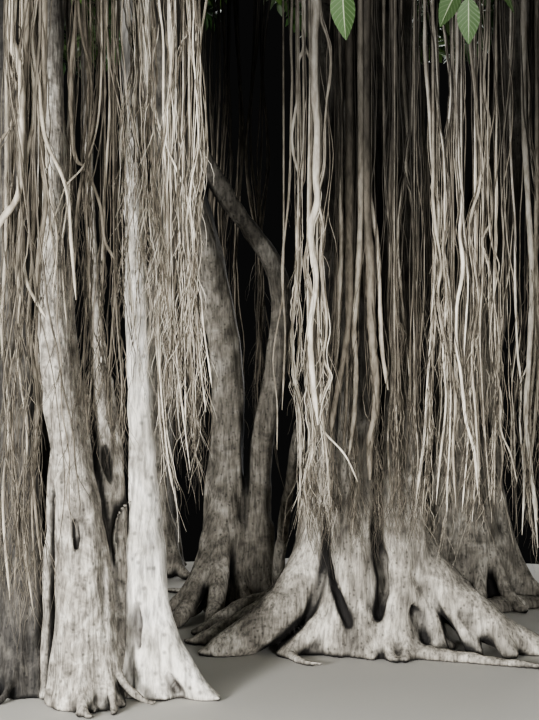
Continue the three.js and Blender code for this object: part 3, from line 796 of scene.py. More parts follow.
def grow_boughs() -> list[Bough]:
    """The outer boughs, the middle boughs and the leaders, by the frame's rules."""
    boughs = []
    for i, (angle, tip, reach, height) in enumerate(OUTER):
        reach, height = reach * MM, height * MM
        start = FORK_HEIGHT + (i % 2) * 110 * MM
        tip_reach, tip_height = reach - OUTER_MASS[0] * 0.8, height - OUTER_MASS[2] * 0.46
        knots = [
            polar(angle, 60 * MM, start),
            polar(angle, tip_reach * 0.3, mix(start, tip_height, 0.44)),
            polar(angle, tip_reach * 0.68, mix(start, tip_height, 0.8)),
            polar(mix(angle, tip, 0.6), tip_reach, tip_height),
        ]
        names = f"bough_outer_{i + 1}", f"leaves_outer_{i + 1}"
        boughs.append(Bough(*names, Curve(knots), (0.130, 0.062), polar(tip, reach, height), OUTER_MASS))
    outer = list(boughs)
    for i, (tip, parent, reach, height) in enumerate(MIDDLE):
        reach, height = reach * MM, height * MM
        root = outer[parent].curve.at(MIDDLE_AT)
        end = polar(tip, reach - MIDDLE_MASS[0] * 0.45, height - MIDDLE_MASS[2] * 0.85)
        elbow = mix(root, end, 0.5) * (1.12, 1.12, 1) - (0, 0, 60 * MM)
        curve = Curve([root, elbow, end])
        names = f"bough_middle_{i + 1}", f"leaves_middle_{i + 1}"
        boughs.append(Bough(*names, curve, (0.084, 0.048), polar(tip, reach, height), MIDDLE_MASS))
    first = None
    for i, (tip, start, radius, reach, height) in enumerate(LEADERS):
        reach, height, start = reach * MM, height * MM, start * MM
        if first is None:
            root = np.array([*TRUNK_AXIS, start])
        else:
            places = first.at(even(41))
            root = places[np.argmin(np.abs(places[:, 2] - start))]
        end = polar(tip, reach * 0.8, height - LEADER_MASS[2] * 0.92)
        elbow = mix(root, end, 0.5)
        upright = np.array([*mix(elbow[:2], root[:2], 0.35), elbow[2]])
        curve = Curve([root, upright, end])
        first = first or curve
        names = f"leader_{i + 1}", f"leaves_top_{i + 1}"
        radii = (radius * MM, 0.052)
        boughs.append(Bough(*names, curve, radii, polar(tip, reach, height), LEADER_MASS))
    return boughs


def fork_limbs(boughs: Sequence[Bough]) -> tuple[Pair, ...]:
    """The first stretch of each bough that leaves the trunk, a little thicker than the bough at its root."""
    share = np.linspace(0, 0.2, 6)
    limbs = []
    for bough in boughs:
        if bough.name.startswith("bough_outer") or bough.name == "leader_1":
            collar = mix(1.12, 0.9, share / share[-1])
            limbs.append((bough.curve.at(share), bough.radius(share) * collar))
    return tuple(limbs)


# Ridges of the trunk's near side, and the hollows between them.
TRUNK_RIDGES = (
    ((318, 430, 5950, 316, 500, 5920, 311, 545, 5880, 299, 582, 5830, 280, 612, 5780, 248, 636, 5740, 205,
     662, 5700), (44, 54, 72, 94, 104, 90, 66)),
    ((330, 560, 5950, 325, 600, 5910, 318, 650, 5890), (80, 105, 120)),
    ((336, 575, 5810, 332, 602, 5770, 322, 622, 5740, 300, 642, 5700, 276, 664, 5660), (24, 38, 48, 46,
     36)),
    ((305, 545, 5990, 288, 590, 5990, 252, 616, 5970, 208, 640, 5930, 168, 664, 5890), (40, 56, 54, 48,
     40)),
    ((292, 600, 5860, 262, 626, 5810, 232, 644, 5770, 206, 666, 5730), (48, 54, 48, 38)),
    ((300, 560, 6100, 276, 596, 6140, 236, 612, 6140, 176, 650, 6100), (40, 52, 50, 38)),
    ((335, 470, 5900, 336, 520, 5850, 342, 555, 5820, 348, 592, 5780, 353, 622, 5740, 353, 664, 5700), (26,
     28, 30, 34, 38, 36)),
    ((350, 480, 5900, 353, 530, 5840, 356, 560, 5800, 359, 582, 5770, 366, 604, 5740, 372, 628, 5700, 373,
     672, 5640), (28, 32, 34, 36, 38, 40, 36)),
    ((357, 574, 5745, 358, 582, 5740), (26, 26)),
    ((366, 470, 5920, 370, 540, 5900, 376, 600, 5880, 384, 652, 5860), (44, 54, 64, 70)),
    ((386, 470, 5900, 387, 520, 5860, 391, 555, 5820, 396, 585, 5780, 390, 614, 5740, 382, 666, 5680), (44,
     54, 60, 64, 56, 46)),
    ((403, 460, 5930, 406, 510, 5900, 416, 545, 5860, 436, 578, 5810, 462, 604, 5770, 494, 628, 5740, 540,
     650, 5720, 610, 668, 5680), (50, 66, 86, 104, 102, 84, 62, 46)),
    ((405, 580, 5930, 415, 610, 5900, 425, 650, 5880), (90, 115, 130)),
    ((404, 545, 5800, 414, 588, 5740, 430, 620, 5700, 446, 666, 5650), (32, 42, 46, 38)),
    ((434, 578, 5750, 452, 606, 5710, 466, 632, 5680, 480, 666, 5640), (38, 46, 44, 36)),
    ((466, 600, 5730, 488, 620, 5690, 504, 644, 5650, 520, 670, 5610), (42, 44, 38, 30)),
    ((400, 618, 5720, 404, 640, 5690, 408, 670, 5650), (38, 38, 32)),
    ((322, 330, 5960, 306, 400, 6080, 292, 470, 6250, 283, 530, 6420, 277, 590, 6580, 274, 616, 6650), (30,
     30, 30, 32, 38, 40)),
)
TRUNK_HOLLOWS = (
    ((374, 530, 5730, 383, 560, 5730, 386, 590, 5720, 379, 616, 5690), (16, 38, 40, 14)),
    ((327, 524, 5800, 331, 550, 5775, 336, 580, 5715, 342, 604, 5680, 348, 624, 5670), (9, 17, 19, 18, 9)),
    ((347, 545, 5790, 353, 590, 5755, 362, 634, 5700), (5, 8, 7)),
    ((392, 540, 5800, 398, 560, 5760, 404, 580, 5720), (4, 9, 6)),
    ((406, 602, 5690, 421, 620, 5650, 436, 642, 5620), (9, 17, 16)),
    ((460, 614, 5660, 470, 624, 5640, 481, 636, 5620), (7, 13, 13)),
)


def trunk_stem(boughs: Sequence[Bough]) -> Stem:
    """The trunk: a main bole, the boles that fused with it, its roots, and its fork into the boughs."""
    boles = (
        Bole((-40, 140), (-40, 140), 3460, (320, 190, 260)),
        Bole((-205, -10), (-190, 20), 2900, (100, 76, 60)),
        Bole((-105, -130), (-70, -80), 3380, (110, 70, 60)),
        Bole((130, -100), (110, -20), 3100, (130, 86, 62)),
        Bole((120, 360), (80, 290), 3200, (130, 80, 60)),
    )
    legs = (
        Leg((240, 60), (760, 60), 600, 84),
        Leg((190, 320), (560, 720), 680, 92),
        Leg((60, 350), (200, 860), 620, 80),
        Leg((-40, 360), (-120, 900), 700, 92),
        Leg((-260, 260), (-600, 600), 660, 88),
        Leg((-270, 160), (-740, 260), 560, 78),
    )
    runners = (
        (((160, -240), (520, -380), (1080, -620)), 52),
        (((-430, -180), (-330, -400), (40, -470)), 34),
        (((-480, 60), (-760, 0), (-1020, 60)), 50),
        (((440, 560), (980, 900), (1500, 1000)), 84),
        (((-380, 520), (-760, 1150), (-1300, 1420)), 84),
    )
    return Stem(
        "trunk", boles, legs, runners, TRUNK_RIDGES, TRUNK_HOLLOWS, fork_limbs(boughs),
        flutes=6, strands=7, cell=(12, 20), blend=15, core=(0.75, 0.62), seed=3,
    )


# Prop stems: name, bough, foot, knee and head in plan, radii, waist, and each leg's angle, reach and radius.
PROPS = (
    ("stem_left_leaning", 0, (-1245, -980), (-1385, -985), (-1400, -940), (122, 40, 40), 1480,
     ((335, 110, 52), (300, 80, 54), (262, 60, 54), (225, 70, 52), (180, 80, 50), (90, 150, 60))),
    ("stem_left_bright", 0, (-1020, -830), (-1050, -820), (-1120, -735), (92, 30, 28), 1180,
     ((338, 270, 50), (305, 130, 44), (262, 60, 44), (215, 60, 40), (150, 80, 40), (70, 200, 54))),
    ("stem_left_edge", 0, (-1560, -800), (-1570, -860), (-1600, -1065), (100, 56, 42), 1250,
     ((290, 90, 46), (235, 110, 50), (170, 160, 54), (80, 160, 48))),
    ("stem_inner", 8, (-740, 800), (-735, 800), (-1340, 462), (128, 92, 100), 1450,
     ((240, 620, 80), (262, 660, 74), (300, 300, 62), (180, 340, 74), (60, 300, 76))),
    ("stem_right_rear", 5, (650, 1090), (690, 1080), (1040, 1080), (235, 150, 118), 1500,
     ((245, 300, 70), (275, 320, 62), (305, 350, 66), (345, 430, 84), (50, 380, 84), (140, 320, 76))),
    ("stem_right_far", 4, (1330, -60), (1340, -80), (1330, -130), (120, 62, 54), 1350,
     ((250, 280, 60), (330, 320, 62), (60, 300, 60), (150, 280, 60))),
    ("stem_left_outer", 0, (-2250, -1300), (-2230, -1290), (-2170, -1330), (120, 64, 52), 1300,
     ((200, 320, 64), (265, 300, 60), (330, 280, 58), (80, 300, 62))),
    ("stem_left_rear", 8, (-2230, 760), (-2240, 740), (-2200, 740), (140, 80, 64), 1400,
     ((190, 350, 70), (260, 330, 66), (330, 290, 60), (80, 330, 68))),
    ("stem_rear_left", 7, (-1240, 1930), (-1220, 1920), (-1130, 1890), (130, 74, 60), 1400,
     ((160, 330, 66), (240, 290, 60), (320, 290, 60), (70, 330, 64))),
    ("stem_rear_middle", 6, (260, 2200), (240, 2180), (240, 2120), (140, 84, 64), 1400,
     ((20, 320, 66), (110, 330, 66), (200, 300, 62), (285, 320, 64))),
    ("stem_rear_right", 5, (1860, 1620), (1850, 1600), (1800, 1560), (136, 76, 62), 1400,
     ((20, 340, 68), (110, 320, 64), (210, 290, 60), (300, 320, 64))),
    ("stem_front_right", 3, (1330, -1580), (1320, -1560), (1330, -1500), (112, 56, 48), 1300,
     ((310, 320, 60), (30, 280, 54), (130, 270, 54), (230, 280, 58))),
)
# The slim bole that grew together with the inner stem.
SLIM_BOLE = Bole((-560, 760), (-960, 660), 2640, (84, 52, 58), (-445, 740), 1850)
# Lattice steps, flutes, clinging roots, top share and bark, of single stems and of all others.
# The SHADED and DARK barks here paint shade on stems that stand in it.
OWN_LOOKS = {
    "stem_left_leaning": ((8, 13), 8, 18, 0.6, Skin.MOTTLED),
    "stem_left_bright": ((8, 13), 5, 9, 0.55, Skin.PALE),
    "stem_left_edge": ((9, 15), 7, 30, 0.8, Skin.DARK),
    "stem_inner": ((13, 24), 4, 3, 1, Skin.SHADED),
    "stem_right_rear": ((14, 26), 9, 12, 1, Skin.WEATHERED),
    "stem_rear_left": ((18, 34), 5, 4, 1, Skin.SHADED),
}
COMMON_LOOK = ((18, 34), 5, 4, 1, Skin.WEATHERED)
# What the photograph shows on the near stems: roots half sunk along the ground, ridges and hollows.
STEM_RUNNERS = {
    "stem_left_leaning": (
        (((-1200, -1010), (-1130, -1090), (-1090, -1190)), 30),
        (((-1240, -1040), (-1200, -1120), (-1190, -1220)), 26),
    ),
    "stem_left_bright": ((((-960, -860), (-820, -930), (-640, -1010)), 40),),
}
STEM_RIDGES = {
    "stem_left_leaning": (
        ((64, 190, 5020, 65, 260, 5010, 67, 340, 5000, 76, 410, 4985, 84, 480, 4970, 88, 560, 4950), (22,
         36, 42, 44, 44, 44)),
        ((84, 20, 5070, 88, 140, 5070, 92, 270, 5060, 99, 390, 5050, 105, 480, 5035, 104, 560, 5020, 106,
         640, 4990, 110, 712, 4960), (16, 20, 28, 36, 46, 42, 50, 58)),
        ((108, 380, 5120, 115, 460, 5080, 118, 540, 5050, 119, 620, 5020, 120, 706, 4990), (20, 34, 42, 46,
         52)),
        ((134, 498, 5050, 127, 504, 5010, 119, 513, 4985, 114, 534, 4975, 116, 556, 4985, 123, 580, 5040),
         (5, 5, 5, 5, 5, 5)),
        ((88, 480, 4960, 92, 560, 4930, 97, 640, 4890, 104, 700, 4850, 112, 726, 4820), (18, 24, 30, 34,
         28)),
        ((60, 500, 4960, 62, 580, 4930, 60, 650, 4900, 52, 712, 4870), (22, 28, 34, 34)),
        ((57, 410, 5080, 53, 490, 5060, 50, 570, 5030, 49, 640, 5000, 46, 708, 4960), (12, 24, 28, 30, 34)),
        ((78, 560, 4900, 80, 640, 4870, 82, 722, 4840), (20, 28, 32)),
    ),
    "stem_left_edge": (
        ((42, 380, 5190, 46, 470, 5180, 48, 560, 5160, 50, 640, 5130, 50, 704, 5100), (14, 20, 26, 36, 50)),
        ((20, 560, 5030, 18, 640, 5000, 14, 706, 4980), (20, 28, 32)),
        ((34, 560, 5030, 36, 640, 5000, 38, 706, 4980), (16, 24, 30)),
    ),
    "stem_left_bright": (
        ((146, 500, 5050, 153, 545, 5030, 155, 585, 5025, 160, 622, 5010, 176, 660, 4990, 212, 702, 4960,
         250, 726, 4930), (20, 42, 50, 56, 58, 44, 26)),
        ((144, 560, 5040, 148, 620, 5030, 156, 670, 5010, 170, 712, 4990), (40, 56, 66, 66)),
        ((134, 540, 5050, 132, 620, 5030, 130, 706, 5000), (30, 40, 52)),
        ((140, 560, 5000, 142, 630, 4980, 146, 712, 4950), (24, 34, 40)),
    ),
}
STEM_HOLLOWS = {
    "stem_left_leaning": (
        ((75, 520, 4828, 76, 536, 4825, 77, 554, 4828), (3, 9, 3)),
        ((105, 448, 5008, 107, 464, 5010, 111, 481, 5008), (6, 17, 6)),
    ),
    "stem_left_bright": (
        ((153, 552, 4984, 153, 574, 4976, 154, 596, 4972), (5, 13, 5)),
        ((136, 604, 4972, 137, 624, 4962, 139, 646, 4952), (5, 15, 5)),
    ),
}


def prop_stems(boughs: Sequence[Bough]) -> list[Stem]:
    """The prop stems, each up to the bough's centre line that passes nearest over its head."""
    stems = []
    for seed, (name, bough, foot, knee, head, radii, waist, legs) in enumerate(PROPS, start=11):
        line = boughs[bough].curve.at(even(81)) / MM
        seat = line[np.argmin(np.hypot(line[:, 0] - head[0], line[:, 1] - head[1]))]
        boles = [Bole(foot, (seat[0], seat[1]), seat[2], radii, knee, waist)]
        if name == "stem_inner":
            boles.append(SLIM_BOLE)
        roots = []
        for angle, reach, radius in legs:
            way = np.array([math.cos(math.radians(angle)), math.sin(math.radians(angle))])
            start, end = foot + way * radii[0] * 0.45, foot + way * (radii[0] * 0.8 + reach)
            roots.append(Leg(tuple(start), tuple(end), radii[0] * 2.6 + reach * 0.7, radius))
        cell, flutes, strands, top, skin = OWN_LOOKS.get(name, COMMON_LOOK)
        stems.append(Stem(
            name, tuple(boles), tuple(roots),
            *(table.get(name, ()) for table in (STEM_RUNNERS, STEM_RIDGES, STEM_HOLLOWS)),
            flutes=flutes, strands=strands, cell=cell, blend=0.6 * cell[0] + 4, top=top, skin=skin, seed=seed,
        ))
    return stems


# Hanging roots


@dataclass(frozen=True)
class Route:
    """A hanging root that the photograph shows, with the thinner roots that twine round it.

    Attributes:
        away: Its distance from the camera in mm.
        radius: Its radius in mm.
        seen: The pixels that it passes: across, down, across, down and so on.
        company: How many thinner roots twine round it.
        loose: How far off they stray, in mm.
    """

    away: float
    radius: float
    seen: tuple[float, ...]
    company: int = 0
    loose: float = 12

    def line(self, top: float) -> Curve:
        """Its way from the row's height in metres down to its tip."""
        places = sighted([(*pixel, self.away) for pixel in zip(self.seen[::2], self.seen[1::2])])
        head = np.array([[*places[0, :2], top]])
        return Curve(np.vstack([head, places]) if top > places[0, 2] + 0.05 else places)


@dataclass(frozen=True)
class Curtain:
    """A curtain of hanging roots: a neck from a bough, the row under it, and strands in clumps.

    Attributes:
        name: The frame's node.
        bough: The outer bough that carries it.
        at: Where along the bough the neck leaves.
        top: Height of the row.
        low: Height of the lowest tips.
        row: The row's two ends in plan.
        clumps: Number of clumps.
        strands: Number of strands.
        thick: Radius of a strand at its top, thinnest and thickest.
        spread: Radius of a clump.
        shortest: Shortest strand, as a share of the longest.
        sway: How far a clump wanders sideways.
        brush: Rootlets for each strand.
        routes: The strands that the photograph shows.
        shade: The first skin of its thin roots, a painted shade that darkens curtains hanging in the tree's
            shade; the thick ones begin one paler.
        seed: Which numbers it draws.
    """

    name: str
    bough: int
    at: float
    top: float
    low: float
    row: tuple[Plan, Plan]
    clumps: int = 7
    strands: int = 80
    thick: Plan = (2.5, 6)
    spread: float = 50
    shortest: float = 0.72
    sway: float = 60
    brush: int = 4
    routes: tuple[Route, ...] = ()
    shade: int = 0
    seed: int = 1

    # Knots of a strand, and of a route's roots.
    STEPS = 34
    FINE_STEPS = 64

    def _row(self, share: Array) -> Array:
        """Places on the row, which sags and rises 20 mm on the way."""
        (x0, y0), (x1, y1) = self.row
        height = self.top - 20 * np.cos(2 * np.pi * share)
        return np.stack([mix(x0, x1, share), mix(y0, y1, share), height], axis=-1) * MM

    def _carriers(self, boughs: Sequence[Bough]) -> Pair:
        """Paths and radii of the row and of its neck from the bough."""
        share = even(18)
        row = Curve(self._row(np.array([-0.04, 0.35, 0.7, 1.04])))
        held, middle = boughs[self.bough].curve.at(self.at), row.at(0.5)
        crook = mix(held, middle, 0.5) + (0, 0, 30 * MM)
        neck = Curve([held, crook, middle])
        knobs = 1 + 0.14 * np.sin(share * 23 + self.seed) + 0.1 * np.sin(share * 51)
        radii = np.stack([0.036 * knobs, mix(0.046, 0.032, share) * knobs])
        return np.stack([row.at(share), neck.at(share)]), radii

    def _number(self, index: Array, channel: int, low: float = 0, high: float = 1) -> Array:
        """Repeatable numbers from low to high, one for each index."""
        return mix(low, high, jitter(self.seed * 1.37 + channel, index))

    def _strands(self) -> Pair:
        """Paths and radii of the strands.

        A strand circles its clump's line at a radius that opens and closes, and shivers by two finer waves.
        One in three leaves another on the way down, and one in five joins it again, by an eased share.
        """
        (x0, y0), (x1, y1) = self.row
        along = unit(np.array([x1 - x0, y1 - y0, 0.0]))
        depth = np.array([-along[1], along[0], 0.0])
        i = np.arange(self.strands)[:, None]
        clump = i % self.clumps
        length = self._number(i, 1, self.shortest, 1)
        fall = even(self.STEPS) * length
        share = (clump + 0.5 + 0.6 * (self._number(clump, 2) - 0.5)) / self.clumps
        turns = fall * 2 * np.pi

        def wave(channel: int, index: Array, slow: float, fast: float) -> Array:
            """A sine of the fall with a drawn pace and phase."""
            pace = self._number(index, channel, slow, fast)
            return np.sin(turns * pace + self._number(index, channel + 1, 0, 2 * np.pi))

        sway = self.sway * MM * np.minimum(fall * 3, 1)
        side = sway * (0.6 * wave(10, clump, 0.4, 0.9) + 0.35 * wave(12, clump, 1.2, 2.2))
        near = sway * (0.5 * wave(14, clump, 0.4, 1.0) + 0.3 * wave(16, clump, 1.1, 2.0))
        ring = self._number(i, 3, 0, 2 * np.pi) + turns * self._number(i, 4, -0.7, 0.7)
        open_share = 0.35 + 0.65 * wave(18, clump, 0.8, 1.6) ** 2
        radius = self.spread * MM * open_share * np.sqrt(self._number(i, 5, 0.05, 1))
        radius *= mix(0.75, 1.5, smooth(fall, 0.55, 1))
        shiver = MM * mix(0.35, 1, smooth(fall, 0, 0.8))
        side = side + radius * np.cos(ring) + shiver * (13 * wave(20, i, 2, 4) + 4.5 * wave(22, i, 6, 11))
        near = near + radius * np.sin(ring) + shiver * (13 * wave(24, i, 2, 4) + 4.5 * wave(26, i, 6, 11))
        parent = np.where(i >= 2 * self.clumps, i - self.clumps, i)[:, 0]
        leave = np.where(self._number(i, 6) < 0.34, self._number(i, 8, 0.1, 0.6), -1)
        join = np.where(self._number(i, 7) < 0.2, self._number(i, 9, 0.5, 0.85), 9)
        own = smooth(fall - leave, 0, 0.14) * (1 - smooth(fall - join, 0, 0.12))
        side, near = (
            mix(np.stack([np.interp(*row) for row in zip(fall, fall[parent], moved[parent])]), moved, own)
            for moved in (side, near)
        )
        head = self._row(share)
        paths = head + side[..., None] * along + near[..., None] * depth
        paths[..., 2] = head[..., 2] - fall * (self.top - self.low) * MM
        thick = mix(*self.thick, self._number(i, 29) ** 2.2) * MM
        radii = thick * mix(1, 0.5, fall / length)
        return paths, radii * (1 - 0.75 * smooth(fall / length, 0.9, 1))

    def _leaders(self) -> Pair:
        """Paths and radii of the routes' own roots: each a curve with slight knots, thinning downwards."""
        share, top = even(self.FINE_STEPS), (self.top + 10) * MM
        paths = np.stack([route.line(top).at(share) for route in self.routes])
        number = np.arange(len(self.routes))[:, None]
        radii = np.array([[route.radius] for route in self.routes]) * MM * mix(1.08, 0.7, share)
        knobs = 1 + 0.09 * np.sin(share * 41 + number * 2) + 0.06 * np.sin(share * 97 + number)
        return paths, radii * knobs * (1 - 0.7 * smooth(share, 0.95, 1))

    def _companions(self) -> Pair:
        """Paths and radii of the thinner roots round the routes.

        Each leaves its leader at a drawn share, circles it at a distance that opens and closes and widens
        near the tips, with a fine shiver, and ends near the leader's tip.
        """
        share, top = even(self.FINE_STEPS), (self.top + 10) * MM
        paths, radii = [], []
        for number, route in enumerate(self.routes):
            if not route.company:
                continue
            i = np.arange(route.company)[:, None] + 100 * number
            start = np.maximum(self._number(i, 60, -0.3, 0.78), 0)
            way = mix(start, self._number(i, 61, 0.84, 1), share)
            line = route.line(top).at(way)
            line[..., 2] -= (self._number(i, 62, 0, 90) * MM) * smooth(share, 0.5, 1)
            pace, phase = self._number(i, 63, 0.5, 1.6), self._number(i, 64, 0, 6.3)
            pulse = 0.5 + 0.5 * np.sin(way * 2 * np.pi * self._number(i, 65, 1, 3) + phase * 3)
            stray = route.loose * MM * mix(0.3, 1.1, pulse) * smooth(way - start, 0, 0.12)
            stray = stray * mix(1, 2.3, smooth(way, 0.72, 1)) * self._number(i, 66, 0.5, 1.25)
            stray = stray + route.radius * MM * 0.8
            turn = phase + way * 2 * np.pi * pace * np.where(i % 2, 1, -1)
            shiver = 2.2 * MM * np.sin(way * self._number(i, 67, 60, 110) + phase)
            line[..., 0] += stray * np.cos(turn) + shiver
            line[..., 1] += stray * np.sin(turn) * 0.8
            paths.append(line)
            thick = mix(1.5, 3.6, self._number(i, 68) ** 1.6) * MM
            radii.append(thick * mix(1, 0.5, share) * (1 - 0.6 * smooth(share, 0.93, 1)))
        return np.concatenate(paths), np.concatenate(radii)

    def _rootlets(self, paths: Array, radii: Array) -> Pair:
        """Fine rootlets low on each strand, pulled down by the square of the way, with a wave."""
        count, steps = paths.shape[:2]
        i = np.arange(count * self.brush)
        strand = i % count
        place = mix(0.5, 0.995, self._number(i, 40) ** 0.55) * (steps - 1)
        start, _ = spots_on(paths, strand, place)
        turn = self._number(i, 41, 0, 2 * np.pi)
        lean = self._number(i, 42, 0.12, 0.55)
        heading = np.stack([np.cos(turn) * lean, np.sin(turn) * lean, -np.ones(len(i))], axis=1)
        reach = self._number(i, 43, 50, 210)[:, None, None] * MM
        way = even(6)[None, :, None]
        bend = np.stack([np.cos(turn + 2), np.sin(turn + 2), np.zeros(len(i))], axis=1)[:, None]
        out = start[:, None] + heading[:, None] * reach * way
        out += bend * reach * 0.1 * np.sin(way * self._number(i, 44, 3, 8)[:, None, None])
        out[..., 2] -= (reach * 0.25 * way**2)[..., 0]
        carrier = radii[strand, np.minimum(place.astype(int), steps - 2)]
        size = np.minimum(self._number(i, 45, 1.2, 2.2) * MM, carrier)
        out[..., 2] = np.maximum(out[..., 2], 0.02)
        return out, size[:, None] * np.linspace(1, 0.35, 6)

    def build(self, boughs: Sequence[Bough], finishes: Sequence[Material]) -> None:
        """Hangs the curtain and dresses it, with each strand's tone drawn from the finishes."""
        sheaf = Sheaf()
        sheaf.add(*tubes(*self._carriers(boughs), 9))
        paths, radii = self._strands()
        kinds = [(paths, radii, 4, 4), (*self._rootlets(paths, radii), 3, 4)]
        if self.routes:
            company = self._companions()
            kinds += [(*self._leaders(), 7, 2), (*company, 4, 4), (*self._rootlets(*company), 3, 4)]
        for order, (lines, widths, sides, tones) in enumerate(kinds):
            # Painted shade: a curtain that hangs in shade draws its roots' tones that many skins darker.
            shade = self.shade if tones > 2 else max(self.shade - 1, 0)
            lines[..., 2] = np.maximum(lines[..., 2], 0.01)
            tone = (self._number(np.arange(len(lines)), 50 + order) ** 1.3 * tones).astype(int)
            tone = np.minimum(tone + shade, len(finishes) - 1)
            walls = np.repeat(tone, (lines.shape[1] - 1) * sides)
            sheaf.add(*tubes(lines, widths, sides), np.concatenate([walls, tone, tone]))
        name = self.name.replace("roots", "strands")
        place_piece(name, make_mesh(sheaf), finishes, [self.name])


def routes(*rows: tuple[float | tuple[float, ...], ...]) -> tuple[Route, ...]:
    """Routes from their values in the order of their fields."""
    return tuple(Route(*row) for row in rows)


FAR_LEFT_ROUTES = routes(
    (4050, 15, (13, 0, 11, 36, 20, 71, 21, 143, 18, 196, 0, 223, -14, 262), 1, 22),
    (4080, 13, (27, 0, 27, 54, 23, 100, 24, 170, 19, 250, 18, 300), 2, 22),
    (4100, 8, (36, 0, 31, 36, 39, 86, 45, 137, 66, 187, 71, 240, 76, 300), 1, 10),
    (4120, 11, (44, 0, 44, 89, 42, 161, 46, 196, 38, 263, 36, 290), 3, 14),
    (4090, 7, (8, 0, 8, 60, 18, 93, 11, 125, -2, 146, -12, 190), 1, 8),
    (4110, 8, (30, 20, 34, 110, 25, 170, 23, 250, 27, 283, 36, 301, 46, 318), 1, 8),
    (4170, 5, (40, 260, 36, 340, 38, 420, 32, 500, 36, 590), 6, 22),
    (4170, 7, (6, 240, 2, 330, 9, 420, 3, 500, 10, 600), 8, 28),
    (4175, 6, (22, 270, 17, 350, 27, 430, 23, 520, 33, 610), 8, 26),
    (4165, 8, (33, 250, 29, 330, 38, 400, 33, 470, 41, 560), 6, 20),
    (4180, 5, (14, 240, 20, 330, 12, 420, 18, 510, 14, 590), 8, 26),
)
LEFT_ROUTES = routes(
    (4400, 8, (77, 0, 71, 71, 71, 116, 77, 161, 84, 167, 100, 205, 105, 241, 115, 260)),
    (4420, 9, (98, 0, 100, 63, 95, 116, 86, 161, 79, 196, 75, 250, 70, 310), 4, 12),
    (4380, 5, (79, 18, 91, 82, 88, 148, 86, 190, 90, 300), 1, 8),
    (4390, 4, (98, 120, 84, 165, 66, 186, 59, 205, 41, 254)),
    (4700, 6, (106, 0, 110, 100, 104, 200, 101, 300, 97, 380, 98, 400), 4, 22),
    (4710, 5, (118, 0, 116, 120, 118, 240, 112, 330, 108, 400, 113, 440), 5, 26),
    (4500, 5, (90, 170, 86, 260, 93, 340, 88, 420), 6, 22),
    (4480, 4, (114, 250, 117, 320, 122, 390, 119, 430), 8, 22),
    (4480, 4, (104, 250, 101, 320, 106, 390), 7, 20),
    (4470, 5, (46, 0, 44, 90, 48, 180, 57, 240, 52, 300), 4, 16),
    (4480, 5, (76, 0, 72, 90, 70, 180, 62, 250, 67, 330), 5, 16),
    (4480, 5, (84, 0, 88, 90, 82, 170, 88, 260, 84, 360, 88, 440), 5, 26),
)
LEFT_FRONT_ROUTES = routes(
    (4600, 5, (207, -6, 202, 27, 198, 80, 202, 111, 204, 179, 198, 205, 193, 259, 188, 330), 1, 8),
    (4590, 4.5, (159, 0, 163, 36, 166, 143, 177, 170, 189, 205, 196, 250, 204, 331, 209, 365, 212, 388), 3,
     9),
    (4610, 4.5, (136, 0, 137, 71, 134, 116, 141, 161, 146, 214, 145, 250), 5, 14),
    (4600, 4.5, (146, 0, 147, 80, 161, 134, 166, 170, 168, 260, 172, 330, 170, 400), 6, 16),
    (4605, 4, (175, 0, 176, 45, 175, 107, 174, 155, 180, 240, 184, 320, 186, 450), 7, 18),
    (4590, 4, (191, 0, 189, 63, 189, 161, 186, 188, 198, 289, 188, 308, 170, 348), 2, 9),
    (4620, 4, (188, 32, 182, 46, 175, 84, 168, 130, 163, 260, 158, 330, 168, 460, 174, 494), 7, 16),
    (4615, 4.5, (152, 0, 150, 90, 143, 180, 146, 233, 160, 262, 164, 315), 5, 12),
    (4600, 4, (168, 0, 170, 90, 172, 270, 176, 350, 190, 470), 9, 20),
    (4610, 4, (198, 150, 193, 220, 196, 300, 200, 360, 206, 412), 7, 14),
    (4610, 4, (184, 150, 188, 250, 190, 340, 194, 410, 196, 440), 7, 14),
    (4630, 5, (128, 0, 133, 60, 126, 120, 132, 190), 9, 15),
    (4630, 4, (140, 0, 134, 70, 140, 140, 134, 215), 8, 14),
    (4640, 5.5, (134, 60, 123, 107, 121, 134, 125, 179, 127, 214, 129, 268, 136, 340), 2, 8),
)
MIDDLE_ROUTES = routes(
    (5200, 8, (304, 0, 303, 50, 299, 60, 297, 100, 292, 136, 295, 161, 302, 182)),
    (5210, 9, (304, 0, 304, 45, 309, 56, 315, 68, 318, 100, 321, 121, 320, 179, 317, 200)),
    (5190, 17, (317, 0, 315, 36, 315, 100, 317, 125, 316, 179, 317, 202, 311, 225, 312, 250, 316, 280, 310,
     330, 313, 380, 318, 425), 1, 10),
    (5190, 6, (321, 18, 327, 36, 331, 59, 327, 100, 325, 125, 324, 170, 318, 198, 323, 225, 321, 260, 327,
     328, 324, 360, 330, 375, 322, 400, 325, 440, 330, 485), 5, 10),
    (5200, 6, (292, 0, 291, 40, 292, 78, 291, 120, 290, 168, 288, 205, 283, 250, 282, 280, 283, 296, 285, 331,
     284, 367, 282, 410)),
    (5200, 4, (283, 285, 282, 300, 273, 358, 277, 403, 277, 450)),
    (5195, 5, (297, 280, 293, 313, 293, 372, 298, 400, 300, 480, 298, 508), 9, 13),
    (5195, 5.5, (309, 232, 305, 262, 312, 300, 307, 360, 309, 400, 313, 440, 305, 480, 308, 515), 12, 16),
    (5195, 5, (312, 395, 322, 428, 345, 455, 358, 482)),
    (5200, 5, (302, 180, 298, 200, 300, 235, 296, 262, 300, 330, 296, 380), 5, 9),
    (5200, 4, (318, 330, 322, 400, 326, 450, 330, 505), 10, 18),
)
